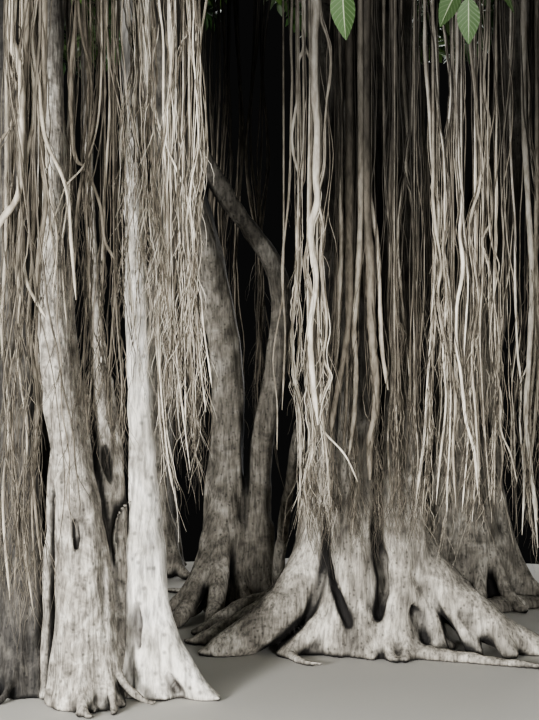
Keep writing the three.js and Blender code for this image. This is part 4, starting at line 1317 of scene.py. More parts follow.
TRUNK_FRONT_ROUTES = routes(
    (5500, 19, (338, 60, 340, 134, 340, 160, 341, 205, 342, 250, 338, 300, 336, 370), 2, 12),
    (5450, 17, (349, 200, 349, 260, 350, 287, 347, 335, 341, 371, 335, 403, 331, 432)),
    (5460, 14, (360, 230, 357, 287, 354, 331, 356, 367, 354, 412, 349, 455), 1, 10),
    (5450, 8, (347, 340, 347, 374, 346, 412, 343, 450)),
    (5520, 36, (352, 0, 352, 80, 356, 143, 357, 196, 359, 232, 366, 268, 372, 310)),
    (5480, 22, (366, 200, 370, 260, 371, 314, 373, 349, 376, 385, 375, 415, 370, 440, 370, 480), 2, 16),
    (5500, 14, (362, 90, 366, 139, 370, 196, 377, 241, 379, 280, 382, 349, 388, 390), 1, 10),
    (5560, 9, (392, 0, 394, 100, 390, 200, 395, 299, 397, 319, 403, 335, 399, 360, 399, 378, 403, 440), 5,
     18),
    (5580, 9, (402, 0, 404, 80, 408, 160, 404, 180, 398, 240, 402, 300, 410, 380, 407, 455), 6, 20),
    (5560, 9, (415, 0, 412, 120, 406, 170, 412, 200, 415, 260, 420, 330, 414, 400, 418, 480), 7, 20),
    (5570, 8, (384, 100, 386, 190, 390, 240, 388, 310, 393, 370, 388, 440, 392, 505), 6, 18),
    (5480, 4, (335, 300, 330, 400, 333, 470, 328, 528), 20, 32),
    (5480, 4, (352, 330, 350, 420, 356, 480, 352, 534), 20, 32),
    (5500, 4, (372, 380, 376, 450, 380, 530), 20, 30),
    (5500, 4, (395, 380, 398, 450, 400, 532), 20, 30),
    (5500, 4, (415, 400, 418, 460, 414, 526), 16, 26),
    (5480, 3, (316, 400, 313, 460, 314, 526), 20, 28),
)
RIGHT_FRONT_ROUTES = routes(
    (5200, 9.5, (457, 0, 457, 36, 457, 89, 458, 161, 462, 205, 460, 232, 463, 268, 457, 305, 456, 340, 460,
     367, 463, 394, 466, 421, 474, 450, 478, 495), 5, 12),
    (5200, 6, (443, 0, 443, 18, 446, 45, 450, 80, 450, 107, 446, 150, 449, 200, 444, 250, 446, 300, 443, 350,
     446, 400, 440, 460, 436, 505), 7, 14),
    (5190, 5, (432, 0, 435, 36, 439, 114, 444, 160, 445, 250, 450, 300, 450, 430, 446, 505), 7, 13),
    (5210, 8, (425, 0, 425, 54, 429, 107, 434, 179, 438, 205, 436, 260, 432, 320, 428, 380, 424, 440, 416,
     500), 7, 14),
    (5190, 7, (433, 170, 433, 195, 436, 232, 441, 268, 438, 290, 441, 323, 449, 358, 455, 400, 453, 450, 456,
     508), 5, 12),
    (5200, 7, (470, 0, 470, 45, 475, 89, 477, 125, 482, 161, 479, 188, 470, 223, 472, 250, 478, 300, 472, 350,
     476, 420, 480, 505), 7, 13),
    (5200, 6, (488, 0, 487, 36, 484, 89, 490, 125, 487, 152, 491, 188, 490, 223, 482, 241, 489, 268, 489, 296,
     491, 331, 493, 367, 501, 394, 501, 430, 511, 455, 517, 482), 5, 9),
    (5190, 3.5, (491, 241, 499, 264, 498, 275, 493, 301, 489, 350)),
    (5200, 5, (480, 0, 481, 100, 483, 260, 480, 340, 490, 505), 9, 15),
    (5210, 5, (462, 200, 468, 280, 464, 360, 468, 430, 462, 512), 9, 16),
    (5200, 5, (496, 200, 494, 300, 497, 380, 495, 440, 494, 505), 7, 10),
    (5210, 4, (436, 300, 432, 380, 428, 440, 422, 515), 10, 16),
    (5210, 4, (452, 330, 456, 400, 450, 460, 446, 522), 10, 16),
    (5210, 4, (474, 330, 470, 400, 476, 460, 472, 522), 10, 16),
)
RIGHT_ROUTES = routes(
    (5960, 7, (511, 0, 510, 80, 511, 161, 515, 232, 515, 280, 516, 314, 518, 358, 521, 381, 520, 421, 524,
     480, 522, 535), 2, 14),
    (5960, 6, (540, 300, 533, 350, 527, 367, 521, 383, 520, 402), 1, 8),
    (5940, 7, (524, 0, 525, 36, 529, 89, 529, 134, 534, 179, 538, 205, 533, 260, 536, 340, 530, 420, 534, 500,
     538, 548), 9, 22),
    (5930, 15, (524, 120, 528, 200, 532, 280, 529, 360, 526, 420, 531, 470, 537, 520), 6, 22),
    (5930, 11, (537, 160, 536, 260, 539, 340, 535, 420, 529, 470), 5, 20),
    (5940, 7, (548, 0, 544, 100, 550, 200, 545, 300, 548, 400, 542, 480, 546, 548), 9, 22),
)
CURTAINS = (
    Curtain("roots_far_left", 1, 0.95, 3300, 560, ((-1620, -1840), (-1215, -1930)), 8, 24, (2.5, 5), 60,
        0.8, 90, routes=FAR_LEFT_ROUTES, shade=2),
    Curtain("roots_left", 1, 0.78, 3300, 900, ((-1250, -1480), (-1020, -1530)), 5, 6, (2, 5), 50, 0.7, 60,
        routes=LEFT_ROUTES, shade=2),
    Curtain("roots_left_front", 1, 0.62, 3300, 1180, ((-1080, -1280), (-740, -1330)), 8, 64, (2, 4), 40,
        0.7, 40, routes=LEFT_FRONT_ROUTES),
    Curtain("roots_middle", 2, 0.36, 3300, 790, ((-445, -690), (-205, -715)), 4, 4, (2, 4), 26, 0.4, 40,
        routes=MIDDLE_ROUTES),
    Curtain("roots_trunk_front", 2, 0.22, 3240, 640, ((-190, -400), (120, -420)), 6, 6, (2, 4), 30, 0.7, 40,
        routes=TRUNK_FRONT_ROUTES, shade=2),
    Curtain("roots_right_front", 2, 0.4, 3300, 620, ((165, -680), (560, -720)), 8, 12, (2, 4), 30, 0.8, 40,
        routes=RIGHT_FRONT_ROUTES, shade=1),
    Curtain("roots_right", 4, 0.4, 3300, 400, ((630, 60), (1000, 120)), 6, 26, (3, 6), 45, 0.75, 60,
        routes=RIGHT_ROUTES, shade=1),
    Curtain("roots_right_outer", 3, 0.66, 3300, 700, ((860, -1090), (1260, -1330)), 7, 80, (3, 8), 50, 0.75,
        60),
    Curtain("roots_rear_right", 6, 0.64, 3780, 500, ((-60, 1620), (560, 1700)), 8, 60, (3, 9), 60, 0.75, 60,
        shade=2),
    Curtain("roots_rear", 7, 0.62, 3740, 450, ((-1120, 1380), (-480, 1660)), 8, 70, (3, 9), 60, 0.75, 60,
        shade=2),
    Curtain("roots_rear_left", 8, 0.66, 3600, 520, ((-1860, 180), (-1600, 820)), 8, 90, (3, 9), 60, 0.75,
        60),
)


# The crown


@dataclass(frozen=True)
class Crown:
    """Every mass of leaves, each in its own space: twigs that fork from its stem, and leaves round them.

    Attributes:
        boughs: The boughs, whose tips carry the masses.
        primaries: Main twigs of a mass, by the frame's rule.
        secondaries: Twigs that reach its outline.
        tertiaries: Short twigs along each secondary one.
        leaves: Leaves round each short twig.
        leaf: Shortest and longest leaf.
        width: A leaf's width as a share of its length.
        lean: How far a leaf leans forward.
        edge: The depths that the twigs and the leaf tips may reach.
    """

    boughs: Sequence[Bough]
    primaries: int = 4
    secondaries: int = 46
    tertiaries: int = 6
    leaves: int = 16
    leaf: Plan = (140, 215)
    width: float = 0.54
    lean: float = 0.55
    edge: Plan = (0.77, 0.85)

    def depth(self, mass: int, places: Array) -> Array:
        """How far out places lie in a mass: 0 at its centre and 1 on its outline."""
        bough = self.boughs[mass]
        return np.linalg.norm((places - bough.centre) / bough.half, axis=-1)

    def own(self, mass: int, places: Array, margin: float = 0.01, edge: float = 1) -> Array:
        """Which places lie in a mass up to a depth, and nearer to its middle than to any other's."""
        deep = self.depth(mass, places)
        inside = deep < edge
        for other in range(len(self.boughs)):
            if other != mass:
                inside &= self.depth(other, places) > deep + margin
        return inside

    def headings(self, mass: int, count: int) -> Pair:
        """Directions spread evenly by the golden angle, and the share of the outline that each may reach."""
        index = np.arange(count)
        level = 1 - 2 * (index + 0.5) / count
        turn = index * GOLDEN_ANGLE + mass + 1
        flat = np.sqrt(1 - level**2)
        bough = self.boughs[mass]
        outward = np.stack([flat * np.cos(turn), flat * np.sin(turn), level], axis=1) * bough.half
        reach = np.full(count, 0.97)
        for _ in range(23):
            outside = ~self.own(mass, bough.centre + outward * reach[:, None], 0.02)
            reach = np.where(outside & (reach > 0.3), reach - 0.03, reach)
        return outward, reach

    def twigs(self, mass: int) -> list[tuple[Array, Array, int]]:
        """A mass's stem, main, secondary and short twigs: places, radii and the tubes' sides."""
        bough = self.boughs[mass]
        tip, heading = bough.curve.at(1), bough.curve.tangent(1)
        elbow = tip + heading * 0.4 * np.linalg.norm(tip - bough.centre)
        stem = arcs(tip[None], elbow[None], bough.centre[None], even(12))
        stem_radii = mix(0.98, 0.42, np.sqrt(even(12)))[None] * bough.radii[1]
        index = np.arange(self.primaries)
        outward, reach = self.headings(mass, self.primaries)
        start = arcs(tip[None], elbow[None], bough.centre[None], 0.35 + 0.62 * ((index * 0.618) % 1))[0]
        end = bough.centre + outward * (reach * 0.52)[:, None]
        primary = self._arched(start, end, 0.1, 10)
        nodes = np.vstack([stem[0, 3:], primary.reshape(-1, 3)])
        outward, reach = self.headings(mass, self.secondaries)
        trim = mix(0.86, 1, jitter(mass + 3, np.arange(self.secondaries)))
        end = bough.centre + outward * (np.minimum(reach, self.edge[0]) * trim)[:, None]
        aim = bough.centre + outward * (reach * 0.34)[:, None]
        nearest = np.argmin(np.linalg.norm(aim[:, None] - nodes[None], axis=2), axis=1)
        secondary = self._arched(nodes[nearest], end, 0.12, 9)
        short = self._short_twigs(mass, secondary)
        return [
            (stem, stem_radii, 9),
            (primary, self._taper(primary, 0.024, 0.012), 6),
            (secondary, self._taper(secondary, 0.013, 0.004), 4),
            (short, self._taper(short, 0.0048, 0.0022), 3),
        ]

    @staticmethod
    def _arched(start: Array, end: Array, lift: float, steps: int) -> Array:
        """Arcs from start to end whose elbow is lifted by a share of their length."""
        elbow = mix(start, end, 0.5)
        elbow[:, 2] += lift * np.linalg.norm(end - start, axis=1)
        return arcs(start, elbow, end, even(steps))

    @staticmethod
    def _taper(paths: Array, start: float, end: float) -> Array:
        """Radii that fall from start to end along every path."""
        return np.broadcast_to(np.linspace(start, end, paths.shape[1]), paths.shape[:2])

    def _short_twigs(self, mass: int, secondary: Array) -> Array:
        """Short twigs that leave the outer part of each secondary twig, turned on by the golden angle.

        Each leans forward, and one that would leave the mass's own space is left out.
        """
        count, steps = secondary.shape[:2]
        twig = np.repeat(np.arange(count), self.tertiaries)
        place = np.tile(np.linspace(0.42, 1, self.tertiaries), count)
        start, along = spots_on(secondary, twig, place * (steps - 1))
        number = np.arange(len(twig))
        side = square_to(along, number * GOLDEN_ANGLE + mass)
        ending = (place == 1)[:, None]
        heading = unit(np.where(ending, along + 0.2 * side, 0.75 * along + side))
        length = mix(0.26, 0.44, jitter(mass + 5, number))[:, None]
        end = start + heading * length
        for _ in range(4):
            outside = ~self.own(mass, end, edge=self.edge[0])
            length = np.where(outside[:, None], length * 0.7, length)
            end = start + heading * length
        keep = self.own(mass, end, edge=self.edge[0]) & self.own(mass, start)
        return self._arched(start[keep], end[keep], 0.1, 4)

    def leaf_corners(self, mass: int, twigs: Array) -> Pair:
        """The seven corners of each leaf round a mass's short twigs, and the short twig of each leaf.

        A leaf is an oval folded along its midrib: root, two corners on either side, tip, and a sunk middle.
        """
        count, steps = twigs.shape[:2]
        twig = np.repeat(np.arange(count), self.leaves)
        number = np.arange(len(twig))
        place = np.tile(np.linspace(0.16, 1, self.leaves) ** 0.8, count) * (steps - 1)
        root, along = spots_on(twigs, twig, place)
        side = square_to(along, number * GOLDEN_ANGLE * 1.02)
        last = smooth(place / (steps - 1), 0.75, 1)[:, None]
        heading = side + (self.lean + 0.9 * last) * along
        heading[:, 2] -= mix(0.05, 0.35, jitter(mass + 8, number))
        heading = unit(heading)
        drawn = np.stack([jitter(mass + channel, number) for channel in (11, 12, 13)], axis=1)
        upward = np.array([0, 0, 1.0]) + 0.9 * (drawn - 0.5)
        across = unit(np.cross(upward, heading))
        face = np.cross(heading, across)
        length = mix(*self.leaf, jitter(mass + 14, number))[:, None] * MM
        width = length * self.width
        outline = ((0, 0, 0), (0.3, 0.42, 0.03), (0.68, 0.4, 0.02), (1, 0, -0.07),
                   (0.68, -0.4, 0.02), (0.3, -0.42, 0.03), (0.5, 0, -0.06))
        root = root + heading * 0.12 * length
        along, lift = heading * length, face * length
        corners = np.stack([root + along * u + across * width * v + lift * w for u, v, w in outline], axis=1)
        keep = self.own(mass, corners[:, 3], 0, self.edge[1])
        return corners[keep], twig[keep]

    def build(
        self, name: str, masses: Sequence[int], leaf_finishes: Sequence[Material], twig_finish: Material
    ) -> None:
        """Builds the twigs and the leaves of some masses as two pieces, each twig's leaves in one green."""
        twigs, leaves = Sheaf(), Sheaf()
        fan = np.array([(6, (i + 1) % 6, i) for i in range(6)])
        for mass in masses:
            orders = self.twigs(mass)
            for order in orders:
                twigs.add(*tubes(*order))
            corners, twig = self.leaf_corners(mass, orders[-1][0])
            faces = (fan[None] + 7 * np.arange(len(corners))[:, None, None]).reshape(-1, 3)
            green = (jitter(mass + 21, twig) * len(leaf_finishes)).astype(int)
            leaves.add(corners.reshape(-1, 3), [faces], np.repeat(green, 6))
        nodes = [self.boughs[mass].mass for mass in masses]
        place_piece(f"twigs_{name}", make_mesh(twigs), [twig_finish], [])
        place_piece(f"leaves_{name}", make_mesh(leaves), leaf_finishes, nodes)


# The crown's pieces, with the boughs whose masses each takes in.
CROWN_PIECES = {
    "outer_front": range(5),
    "outer_rear": range(5, 9),
    "middle": range(9, 14),
    "top": range(14, 17),
}
# Pairs of side veins on a broad leaf.
BLADE_VEINS = 9


@dataclass(frozen=True)
class LowTwig:
    """A low leafy twig that hangs in front of the trunk, with leaves of their real size in full shape.

    Attributes:
        name: The frame's node.
        bough: The outer bough that carries it.
        at: Where along the bough it leaves.
        knee: Where it forks.
        spurs: Where each leaf's root hangs.
        rolls: How far each blade is turned away from the camera, in radians.
        leans: How far each blade leans to the right, as a share of its fall.
        length: A blade's length.
        width: A blade's width.
    """

    name: str = "twig_low_front"
    bough: int = 2
    at: float = 0.55
    knee: Place = (230, -1040, 3120)
    spurs: tuple[Place, ...] = (
        (275, -1010, 2930), (313, -1000, 2880), (440, -1000, 3000), (-245, -1700, 2710),
    )
    rolls: tuple[float, ...] = (0.35, -0.1, 0.9, 0.3)
    leans: tuple[float, ...] = (-0.5, 0.02, 0.28, 0.05)
    length: float = 190
    width: float = 98

    def _blade(self, root: Array, index: int) -> tuple[Array, Array, Array]:
        """A blade as a grid of places with its two shares.

        Half width is sin(pi way^0.82)^0.8 (1 - 0.25 way^2). The blade is folded up from the midrib by 0.16,
        droops by the square of the way, and rises and falls between its side veins.
        """
        way, across = np.meshgrid(even(31), np.linspace(-1, 1, 17), indexing="ij")
        profile = np.sin(np.pi * way**0.82) ** 0.8 * (1 - 0.25 * way**2)
        side = 0.5 * self.width * MM * profile * across
        pairs = np.sin(2 * np.pi * BLADE_VEINS * (way - 0.22 * np.abs(across)))
        veins = 1.2 * MM * pairs * np.abs(across)
        lift = 0.16 * np.abs(side) + veins - 14 * MM * way**2
        heading = unit(np.array([self.leans[index], 0.12, -1]))
        turn = np.array([math.cos(self.rolls[index]), math.sin(self.rolls[index]), 0])
        over = unit(turn - (turn @ heading) * heading)
        face = np.cross(over, heading)
        down = heading * (way * self.length * MM)[..., None]
        return root + down + over * side[..., None] + face * lift[..., None], way, across

    def build(self, boughs: Sequence[Bough], blade: Material, bark: Material) -> None:
        """Builds the stalk and spurs as one piece and the blades as another."""
        held = boughs[self.bough].curve.at(self.at)
        knee = np.array(self.knee) * MM
        share = even(14)
        stalk = Curve([held, mix(held, knee, 0.6) + np.array([-40, 0, 60]) * MM, knee]).at(share)
        ends = np.array(self.spurs) * MM
        knees = np.broadcast_to(knee, ends.shape)
        spurs = arcs(knees, mix(knees, ends, 0.6) + (0, 0, 90 * MM), ends, share)
        paths = np.concatenate([stalk[None], spurs])
        starts, tips = np.array([15, 8, 8, 8, 8]) * MM, np.array([9, 2, 2, 2, 2]) * MM
        stalks = Sheaf()
        stalks.add(*tubes(paths, mix(starts[:, None], tips[:, None], share[None]), 8))
        place_piece("twigs_low_front", make_mesh(stalks), [bark], [self.name])
        blades = Sheaf()
        shares = []
        for index, root in enumerate(ends):
            places, way, across = self._blade(root, index)
            rows, columns = way.shape
            number = np.arange(rows * columns).reshape(rows, columns)
            quads = np.stack([number[:-1, :-1], number[1:, :-1], number[1:, 1:], number[:-1, 1:]], axis=-1)
            blades.add(places.reshape(-1, 3), [quads.reshape(-1, 4)])
            shares.append(np.stack([way.ravel(), across.ravel() * 0.5 + 0.5], axis=1))
        mesh = make_mesh(blades)
        corner = np.zeros(len(mesh.loops), np.int32)
        mesh.loops.foreach_get("vertex_index", corner)
        spread = np.vstack(shares)[corner].astype(np.float32).ravel()
        mesh.uv_layers.new(name="blade").uv.foreach_set("vector", spread)
        place_piece("leaves_low_front", mesh, [blade], [])


# Finishes


Link = Socket | float | tuple[float, ...]
Links = dict[str | int, Link]


def linear(code: str, alpha: float = 1.0) -> tuple[float, float, float, float]:
    """A colour for the shader from its sRGB hex code."""
    parts = [int(code[i : i + 2], 16) / 255 for i in (0, 2, 4)]
    red, green, blue = (p / 12.92 if p <= 0.04045 else ((p + 0.055) / 1.055) ** 2.4 for p in parts)
    return red, green, blue, alpha


def plug(tree: Tree, node: Node, links: Links) -> None:
    """Links a node's inputs to sockets, or sets them to values."""
    for name, value in links.items():
        if isinstance(value, Socket):
            tree.links.new(value, node.inputs[name])
        else:
            node.inputs[name].default_value = value


def add_node(
    tree: Tree, kind: str, links: Links | None = None, out: str | int = 0, **settings: object
) -> Socket:
    """Adds a node with its settings, and links or sets its inputs.

    Args:
        tree: The finish's node tree.
        kind: The node's type, without the front that all shader nodes share.
        links: For each input, a socket to link or a value to set.
        out: The output wanted.
        settings: The node's own settings.

    Returns:
        The output.
    """
    node = tree.nodes.new(f"ShaderNode{kind}")
    for name, value in settings.items():
        setattr(node, name, value)
    plug(tree, node, links or {})
    return node.outputs[out]


def ramp(tree: Tree, factor: Socket, stops: Sequence[tuple[float, str]]) -> Socket:
    """A ramp through coloured stops, each a place from 0 to 1 and an sRGB hex code."""
    colour = add_node(tree, "ValToRGB", {"Fac": factor})
    elements = colour.node.color_ramp.elements
    while len(elements) < len(stops):
        elements.new(0.5)
    for element, (place, code) in zip(elements, stops):
        element.position = place
        element.color = linear(code)
    return colour


def new_finish(name: str) -> tuple[Material, Tree, Node]:
    """A new material with its tree and its shader."""
    material = bpy.data.materials.new(name)
    material.use_nodes = True
    shader = next(node for node in material.node_tree.nodes if node.type == "BSDF_PRINCIPLED")
    return material, material.node_tree, shader


# Settings of a mix of colours, and of one that multiplies them.
COLOURS = {"data_type": "RGBA"}
MULTIPLIED = {"data_type": "RGBA", "blend_type": "MULTIPLY"}


def painted_crown_shade(tree: Tree, place: Socket, colour: Socket, ages: Place) -> Socket:
    """A painted shade under the crown: a colour that darkens up the limb and towards the trunk's axis.

    Args:
        tree: The finish's node tree.
        place: The object's coordinates.
        colour: The colour to darken.
        ages: The depths where the painted shade begins and ends, as height less 0.8 of the distance from the
            trunk's axis, and the share of the colour left at the end.

    Returns:
        The darkened colour.
    """
    shade_start, in_shade, least = ages
    middle = (-TRUNK_AXIS[0], -TRUNK_AXIS[1], 0)
    plan = add_node(tree, "Mapping", {"Vector": place, "Location": middle, "Scale": (1, 1, 0)})
    away = add_node(tree, "VectorMath", {0: plan}, "Value", operation="LENGTH")
    height = add_node(tree, "SeparateXYZ", {0: place}, 2)
    shade_depth = add_node(tree, "Math", {0: away, 1: -0.8, 2: height}, operation="MULTIPLY_ADD")
    limits = {0: shade_depth, 1: shade_start, 2: in_shade, 3: 1.0, 4: least}
    share = add_node(tree, "MapRange", limits, interpolation_type="SMOOTHSTEP")
    return add_node(tree, "Mix", {0: 1.0, 6: colour, 7: share}, 2, **MULTIPLIED)


# A dry, matt surface: cork's refraction, and little gloss.
DRY = {"IOR": 1.45, "Specular IOR Level": 0.3}


@dataclass(frozen=True)
class Bark:
    """Smooth grey fig bark, grown: pale blotches and darker lichen, fine upright streaks and corky pores,
    with painted shade in its crevices and under the crown.

    Attributes:
        name: The finish's name.
        tones: Its colours from the darkest blotch to the palest.
        crevice_shade: The painted shade colour deep in a crevice.
        blotch: Width of a blotch.
        streak: Width of a streak.
        pore: Distance between pores.
        ages: Where its painted shade under the crown begins and ends, as for painted_crown_shade.
        roughness: How matt it is.
    """

    name: str
    tones: tuple[str, str, str] = ("6f6a62", "a19b90", "cdc7bb")
    crevice_shade: str = "1b1917"
    blotch: float = 0.16
    streak: float = 0.014
    pore: float = 0.03
    ages: Place = (0.85, 1.45, 0.2)
    roughness: float = 0.8

    def make(self) -> Material:
        """The material. The crevice_shade attribute is 0 on ridges and 1 in the deepest grooves, where it
        mixes in the painted shade colour.
        """
        material, tree, shader = new_finish(self.name)
        place = add_node(tree, "TexCoord", out="Object")
        tall = add_node(tree, "Mapping", {"Vector": place, "Scale": (1, 1, 0.16)})
        wide = {"Vector": place, "Scale": 1 / self.blotch, "Detail": 5, "Roughness": 0.62, "Distortion": 0.6}
        blotches = add_node(tree, "TexNoise", wide)
        fine = {"Vector": tall, "Scale": 1 / self.streak, "Detail": 3, "Roughness": 0.6}
        streaks = add_node(tree, "TexNoise", fine)
        pores = add_node(tree, "TexVoronoi", {"Vector": place, "Scale": 1 / self.pore, "Randomness": 1})
        dark, middle, pale = self.tones
        base = ramp(tree, blotches, ((0.32, dark), (0.5, middle), (0.68, pale)))
        shade = ramp(tree, streaks, ((0.34, "7c7c7c"), (0.6, "ffffff")))
        streaked = add_node(tree, "Mix", {0: 0.75, 6: base, 7: shade}, 2, **MULTIPLIED)
        dots = ramp(tree, pores, ((0.1, "6a6a6a"), (0.26, "ffffff")))
        dotted = add_node(tree, "Mix", {0: 0.6, 6: streaked, 7: dots}, 2, **MULTIPLIED)
        # Painted shade: deep in a crevice the colour is mixed towards the near-black crevice shade colour.
        crevice_shade = add_node(tree, "Attribute", out="Fac", attribute_name="crevice_shade")
        colour = add_node(tree, "Mix", {0: crevice_shade, 6: dotted, 7: linear(self.crevice_shade)}, 2, **COLOURS)
        height = add_node(tree, "Math", {0: streaks, 1: blotches}, operation="ADD")
        bump = add_node(tree, "Bump", {"Height": height, "Strength": 0.55, "Distance": 0.012})
        # Painted shade under the crown: darker up the limb and towards the trunk's axis.
        in_shade = painted_crown_shade(tree, place, colour, self.ages)
        plug(tree, shader, {"Base Color": in_shade, "Normal": bump, "Roughness": self.roughness, **DRY})
        return material


@dataclass(frozen=True)
class RootSkin:
    """The dry corky skin of hanging roots, grown: a plain tone with darker joints every few centimetres."""

    name: str
    pale: str
    dark: str

    def make(self) -> Material:
        """The material: two tones mixed by a noise that is drawn out along the root, with a painted shade
        that darkens it up the root and towards the trunk.
        """
        material, tree, shader = new_finish(self.name)
        place = add_node(tree, "TexCoord", out="Object")
        tall = add_node(tree, "Mapping", {"Vector": place, "Scale": (1, 1, 0.3)})
        patches = add_node(tree, "TexNoise", {"Vector": tall, "Scale": 42, "Detail": 3, "Roughness": 0.6})
        colour = ramp(tree, patches, ((0.33, self.dark), (0.62, self.pale)))
        # Painted shade under the crown: darker up the root and towards the trunk's axis.
        in_shade = painted_crown_shade(tree, place, colour, (1.0, 2.1, 0.2))
        grain = add_node(tree, "TexNoise", {"Vector": place, "Scale": 260, "Detail": 2})
        bump = add_node(tree, "Bump", {"Height": grain, "Strength": 0.4, "Distance": 0.002})
        plug(tree, shader, {"Base Color": in_shade, "Normal": bump, "Roughness": 0.78, **DRY})
        return material


@dataclass(frozen=True)
class LeafSkin:
    """The leathery face of a fig leaf, grown: one plain green for each spray, with a waxy gloss."""

    name: str
    green: str
    roughness: float = 0.42

    def make(self) -> Material:
        """The material: a plain base colour, and a fine noise that breaks the gloss."""
        material, tree, shader = new_finish(self.name)
        place = add_node(tree, "TexCoord", out="Object")
        grain = add_node(tree, "TexNoise", {"Vector": place, "Scale": 60, "Detail": 2})
        bump = add_node(tree, "Bump", {"Height": grain, "Strength": 0.25, "Distance": 0.004})
        green = linear(self.green)
        plug(tree, shader, {"Base Color": green, "Normal": bump, "Roughness": self.roughness, "IOR": 1.45})
        return material


@dataclass(frozen=True)
class BladeSkin:
    """A broad fig leaf seen near by, grown: a pale midrib and side veins on green, with a soft gloss."""

    name: str
    green: str
    vein: str

    def make(self) -> Material:
        """The material. The blade map holds the way along the leaf, and the place across it from 0 to 1."""
        material, tree, shader = new_finish(self.name)
        shares = add_node(tree, "UVMap", uv_map="blade")
        way = add_node(tree, "SeparateXYZ", {0: shares})
        over = way.node.outputs[1]
        centred = add_node(tree, "Math", {0: over, 1: 0.5}, operation="SUBTRACT")
        away = add_node(tree, "Math", {0: centred}, operation="ABSOLUTE")
        lagged = add_node(tree, "Math", {0: away, 1: -0.44, 2: way}, operation="MULTIPLY_ADD")
        turned = add_node(tree, "Math", {0: lagged, 1: 2 * math.pi * BLADE_VEINS}, operation="MULTIPLY")
        wave = add_node(tree, "Math", {0: turned}, operation="COSINE")
        side = ramp(tree, wave, ((0.94, "000000"), (0.99, "8a8a8a")))
        rib = ramp(tree, away, ((0.012, "ffffff"), (0.035, "000000")))
        veins = add_node(tree, "Mix", {0: 1.0, 6: side, 7: rib}, 2, **COLOURS, blend_type="LIGHTEN")
        tones = {0: veins, 6: linear(self.green), 7: linear(self.vein)}
        colour = add_node(tree, "Mix", tones, 2, **COLOURS)
        bump = add_node(tree, "Bump", {"Height": veins, "Strength": 0.3, "Distance": 0.002})
        plug(tree, shader, {"Base Color": colour, "Normal": bump, "Roughness": 0.45, "IOR": 1.45})
        return material


BARKS = {
    Skin.WEATHERED: Bark("fig_bark_weathered", ("6f6a62", "a19b90", "d2ccc0"), ages=(0.4, 1.1, 0.2)),
    Skin.PALE: Bark("fig_bark_pale", ("aaa59b", "d8d3c9", "f2eee6"), "2e2a26", 0.2, 0.02, 0.05),
    Skin.MOTTLED: Bark("fig_bark_mottled", ("6c675f", "9d978d", "c8c3b8"), "1c1a17", 0.07, 0.012, 0.034),
    # Painted shade: the shaded and deep-shade barks are darker copies for stems and boughs in shade.
    Skin.SHADED: Bark(
        "fig_bark_shaded", ("635e56", "918b80", "b8b2a7"), "151412", 0.14, 0.014, 0.03, (0.8, 1.6, 0.35)
    ),
    Skin.DARK: Bark("fig_bark_dark", ("2a2824", "474440", "66625a"), "0d0c0b", 0.12, 0.012, 0.03),
}
TWIG_BARK = Bark("fig_bark_young", ("5d564b", "7c7466", "948b7b"), "3a352e", 0.09, 0.006, 0.012, (1, 9, 0.9))
ROOT_SKINS = (
    RootSkin("root_skin_pale", "e0d9cb", "a89f90"),
    RootSkin("root_skin_mid", "b5ad9e", "7d7568"),
    RootSkin("root_skin_dull", "857d70", "554f45"),
    RootSkin("root_skin_dark", "5f594f", "3a362f"),
)
LEAF_SKINS = (
    LeafSkin("leaf_deep", "35502a"),
    LeafSkin("leaf_mid", "456335"),
    LeafSkin("leaf_dull", "4c5f3a", 0.5),
    LeafSkin("leaf_fresh", "5f7c42"),
)
BLADE = BladeSkin("leaf_blade_near", "3d5130", "8e967c")


# The view


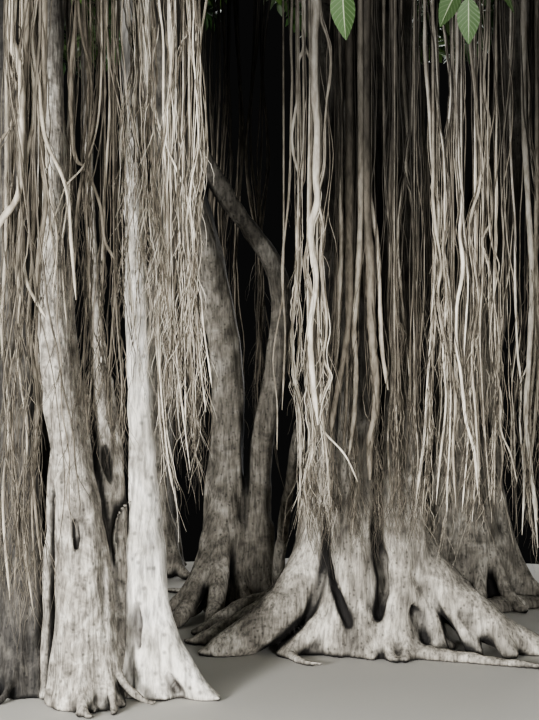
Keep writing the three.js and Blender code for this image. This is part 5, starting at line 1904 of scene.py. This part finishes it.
@dataclass(frozen=True)
class Studio:
    """A plain pale floor, soft light, and the camera at the photograph's angle.

    Attributes:
        sensor: The longer side of the camera's sensor in mm.
        tall: The picture's longer side in pixels.
        floor: Radius of the round floor.
        ahead: How far its middle lies in front of the frame's, so that it ends behind the rear stems.
    """

    sensor: float = 36
    tall: float = 720
    floor: float = 3.5
    ahead: float = 0.9

    def build(self) -> None:
        """Adds the floor, the lights and the camera."""
        floor = bpy.data.meshes.new("floor")
        turn = np.linspace(0, 2 * np.pi, 128, endpoint=False)
        rim = np.stack([np.cos(turn), np.sin(turn), 0 * turn], axis=1) * self.floor
        floor.from_pydata(rim.tolist(), [], [tuple(range(len(rim)))])
        material, _, shader = new_finish("floor_pale")
        plug(material.node_tree, shader, {"Base Color": linear("c4c1ba"), "Roughness": 0.9})
        floor.materials.append(material)
        ground = scene_object("floor", floor)
        ground.location = (0, -self.ahead, -1 * MM)
        self._lamp("front", "AREA", (-4.6, -7.2, 1.3), (-0.4, -0.6, 1.1), 1.6, 1150)
        self._lamp("side", "AREA", (1.6, -7.6, 1.0), (0.1, 0.4, 0.4), 1.6, 380)
        self._lamp("behind", "AREA", (2.5, 9.5, 1.6), (0.2, 1.5, 1.4), 2.5, 300)
        self._lamp("sky", "SUN", (-0.35, -0.5, 0.8), (0, 0, 0), 30, 1.6)
        self._lamp("rear", "SUN", (0.3, 0.55, 1.0), (0, 0, 0), 50, 1.3)
        bpy.context.scene.view_settings.look = "AgX - Medium High Contrast"
        world = bpy.data.worlds.new("studio")
        bpy.context.scene.world = world
        world.use_nodes = True
        tree = world.node_tree
        light = tree.nodes["Background"]
        way = add_node(tree, "TexCoord", out="Generated")
        rise = add_node(tree, "SeparateXYZ", {0: way}, 2)
        bright = add_node(tree, "MapRange", {0: rise, 1: 0.25, 2: 0.7, 3: 0.09, 4: 0.7})
        plug(tree, light, {"Color": linear("9a9a9a"), "Strength": bright})
        # Painted shade: the camera sees a near-black backdrop above the horizon, standing in for the shade
        # behind the tree, and a pale ground below it; the light comes from the grey world.
        low = add_node(tree, "MapRange", {0: rise, 1: -0.17, 2: -0.3})
        tone = add_node(tree, "Mix", {0: low, 6: linear("141414"), 7: linear("bdbbb5")}, 2, **COLOURS)
        backdrop = add_node(tree, "Background", {"Color": tone, "Strength": 1.0})
        seen = add_node(tree, "LightPath", out="Is Camera Ray")
        both = add_node(tree, "MixShader", {0: seen, 1: light.outputs[0], 2: backdrop})
        plug(tree, tree.nodes["World Output"], {"Surface": both})
        camera = bpy.data.cameras.new("camera")
        camera.sensor_width = self.sensor
        camera.lens = self.sensor * FOCAL / self.tall
        eye = scene_object("camera", camera)
        eye.location = EYE
        eye.rotation_euler = (math.pi / 2, 0, 0)
        bpy.context.scene.camera = eye

    @staticmethod
    def _lamp(name: str, kind: str, place: Place, aim: Place, size: float, power: float) -> None:
        """Adds a lamp that faces its aim: a square panel, or a far light whose size is in degrees."""
        data = bpy.data.lights.new(name, kind)
        data.energy = power
        if kind == "SUN":
            data.angle = math.radians(size)
        else:
            data.size = size
        lamp = scene_object(name, data)
        lamp.location = place
        lamp.rotation_euler = (Vector(place) - Vector(aim)).to_track_quat("Z", "Y").to_euler()


def build_boughs(boughs: Sequence[Bough], finish: Material, relief: Relief) -> None:
    """Builds the boughs as one piece: tapering tubes with a collar at each root, and the bark's relief."""
    share = even(46)
    paths = np.stack([bough.curve.at(share) for bough in boughs])
    collar = 1 + 0.35 * np.exp(-share / 0.05)
    radii = np.stack([bough.radius(share) * collar for bough in boughs])
    sheaf = Sheaf()
    sheaf.add(*tubes(paths, radii, 20))
    mesh = make_mesh(sheaf)
    relief.carve(mesh, 5)
    place_piece("bark_boughs", mesh, [finish], [bough.name for bough in boughs])


def main() -> None:
    """Builds the tree from the trunk outwards, then the view."""
    logging.basicConfig(level=logging.INFO, format="%(name)s %(message)s")
    barks = {skin: bark.make() for skin, bark in BARKS.items()}
    twig_bark = TWIG_BARK.make()
    root_skins = [skin.make() for skin in ROOT_SKINS]
    leaf_skins = [skin.make() for skin in LEAF_SKINS]
    relief = Relief()
    boughs = grow_boughs()
    for stem in [trunk_stem(boughs), *prop_stems(boughs)]:
        stem.build(barks, relief)
    # The boughs take the SHADED bark, a painted shade under the crown.
    build_boughs(boughs, barks[Skin.SHADED], relief)
    for seed, curtain in enumerate(CURTAINS, start=1):
        replace(curtain, seed=seed).build(boughs, root_skins)
    LowTwig().build(boughs, BLADE.make(), twig_bark)
    crown = Crown(boughs)
    for name, masses in CROWN_PIECES.items():
        crown.build(name, masses, leaf_skins, twig_bark)
    Studio().build()


if __name__ == "__main__":
    main()
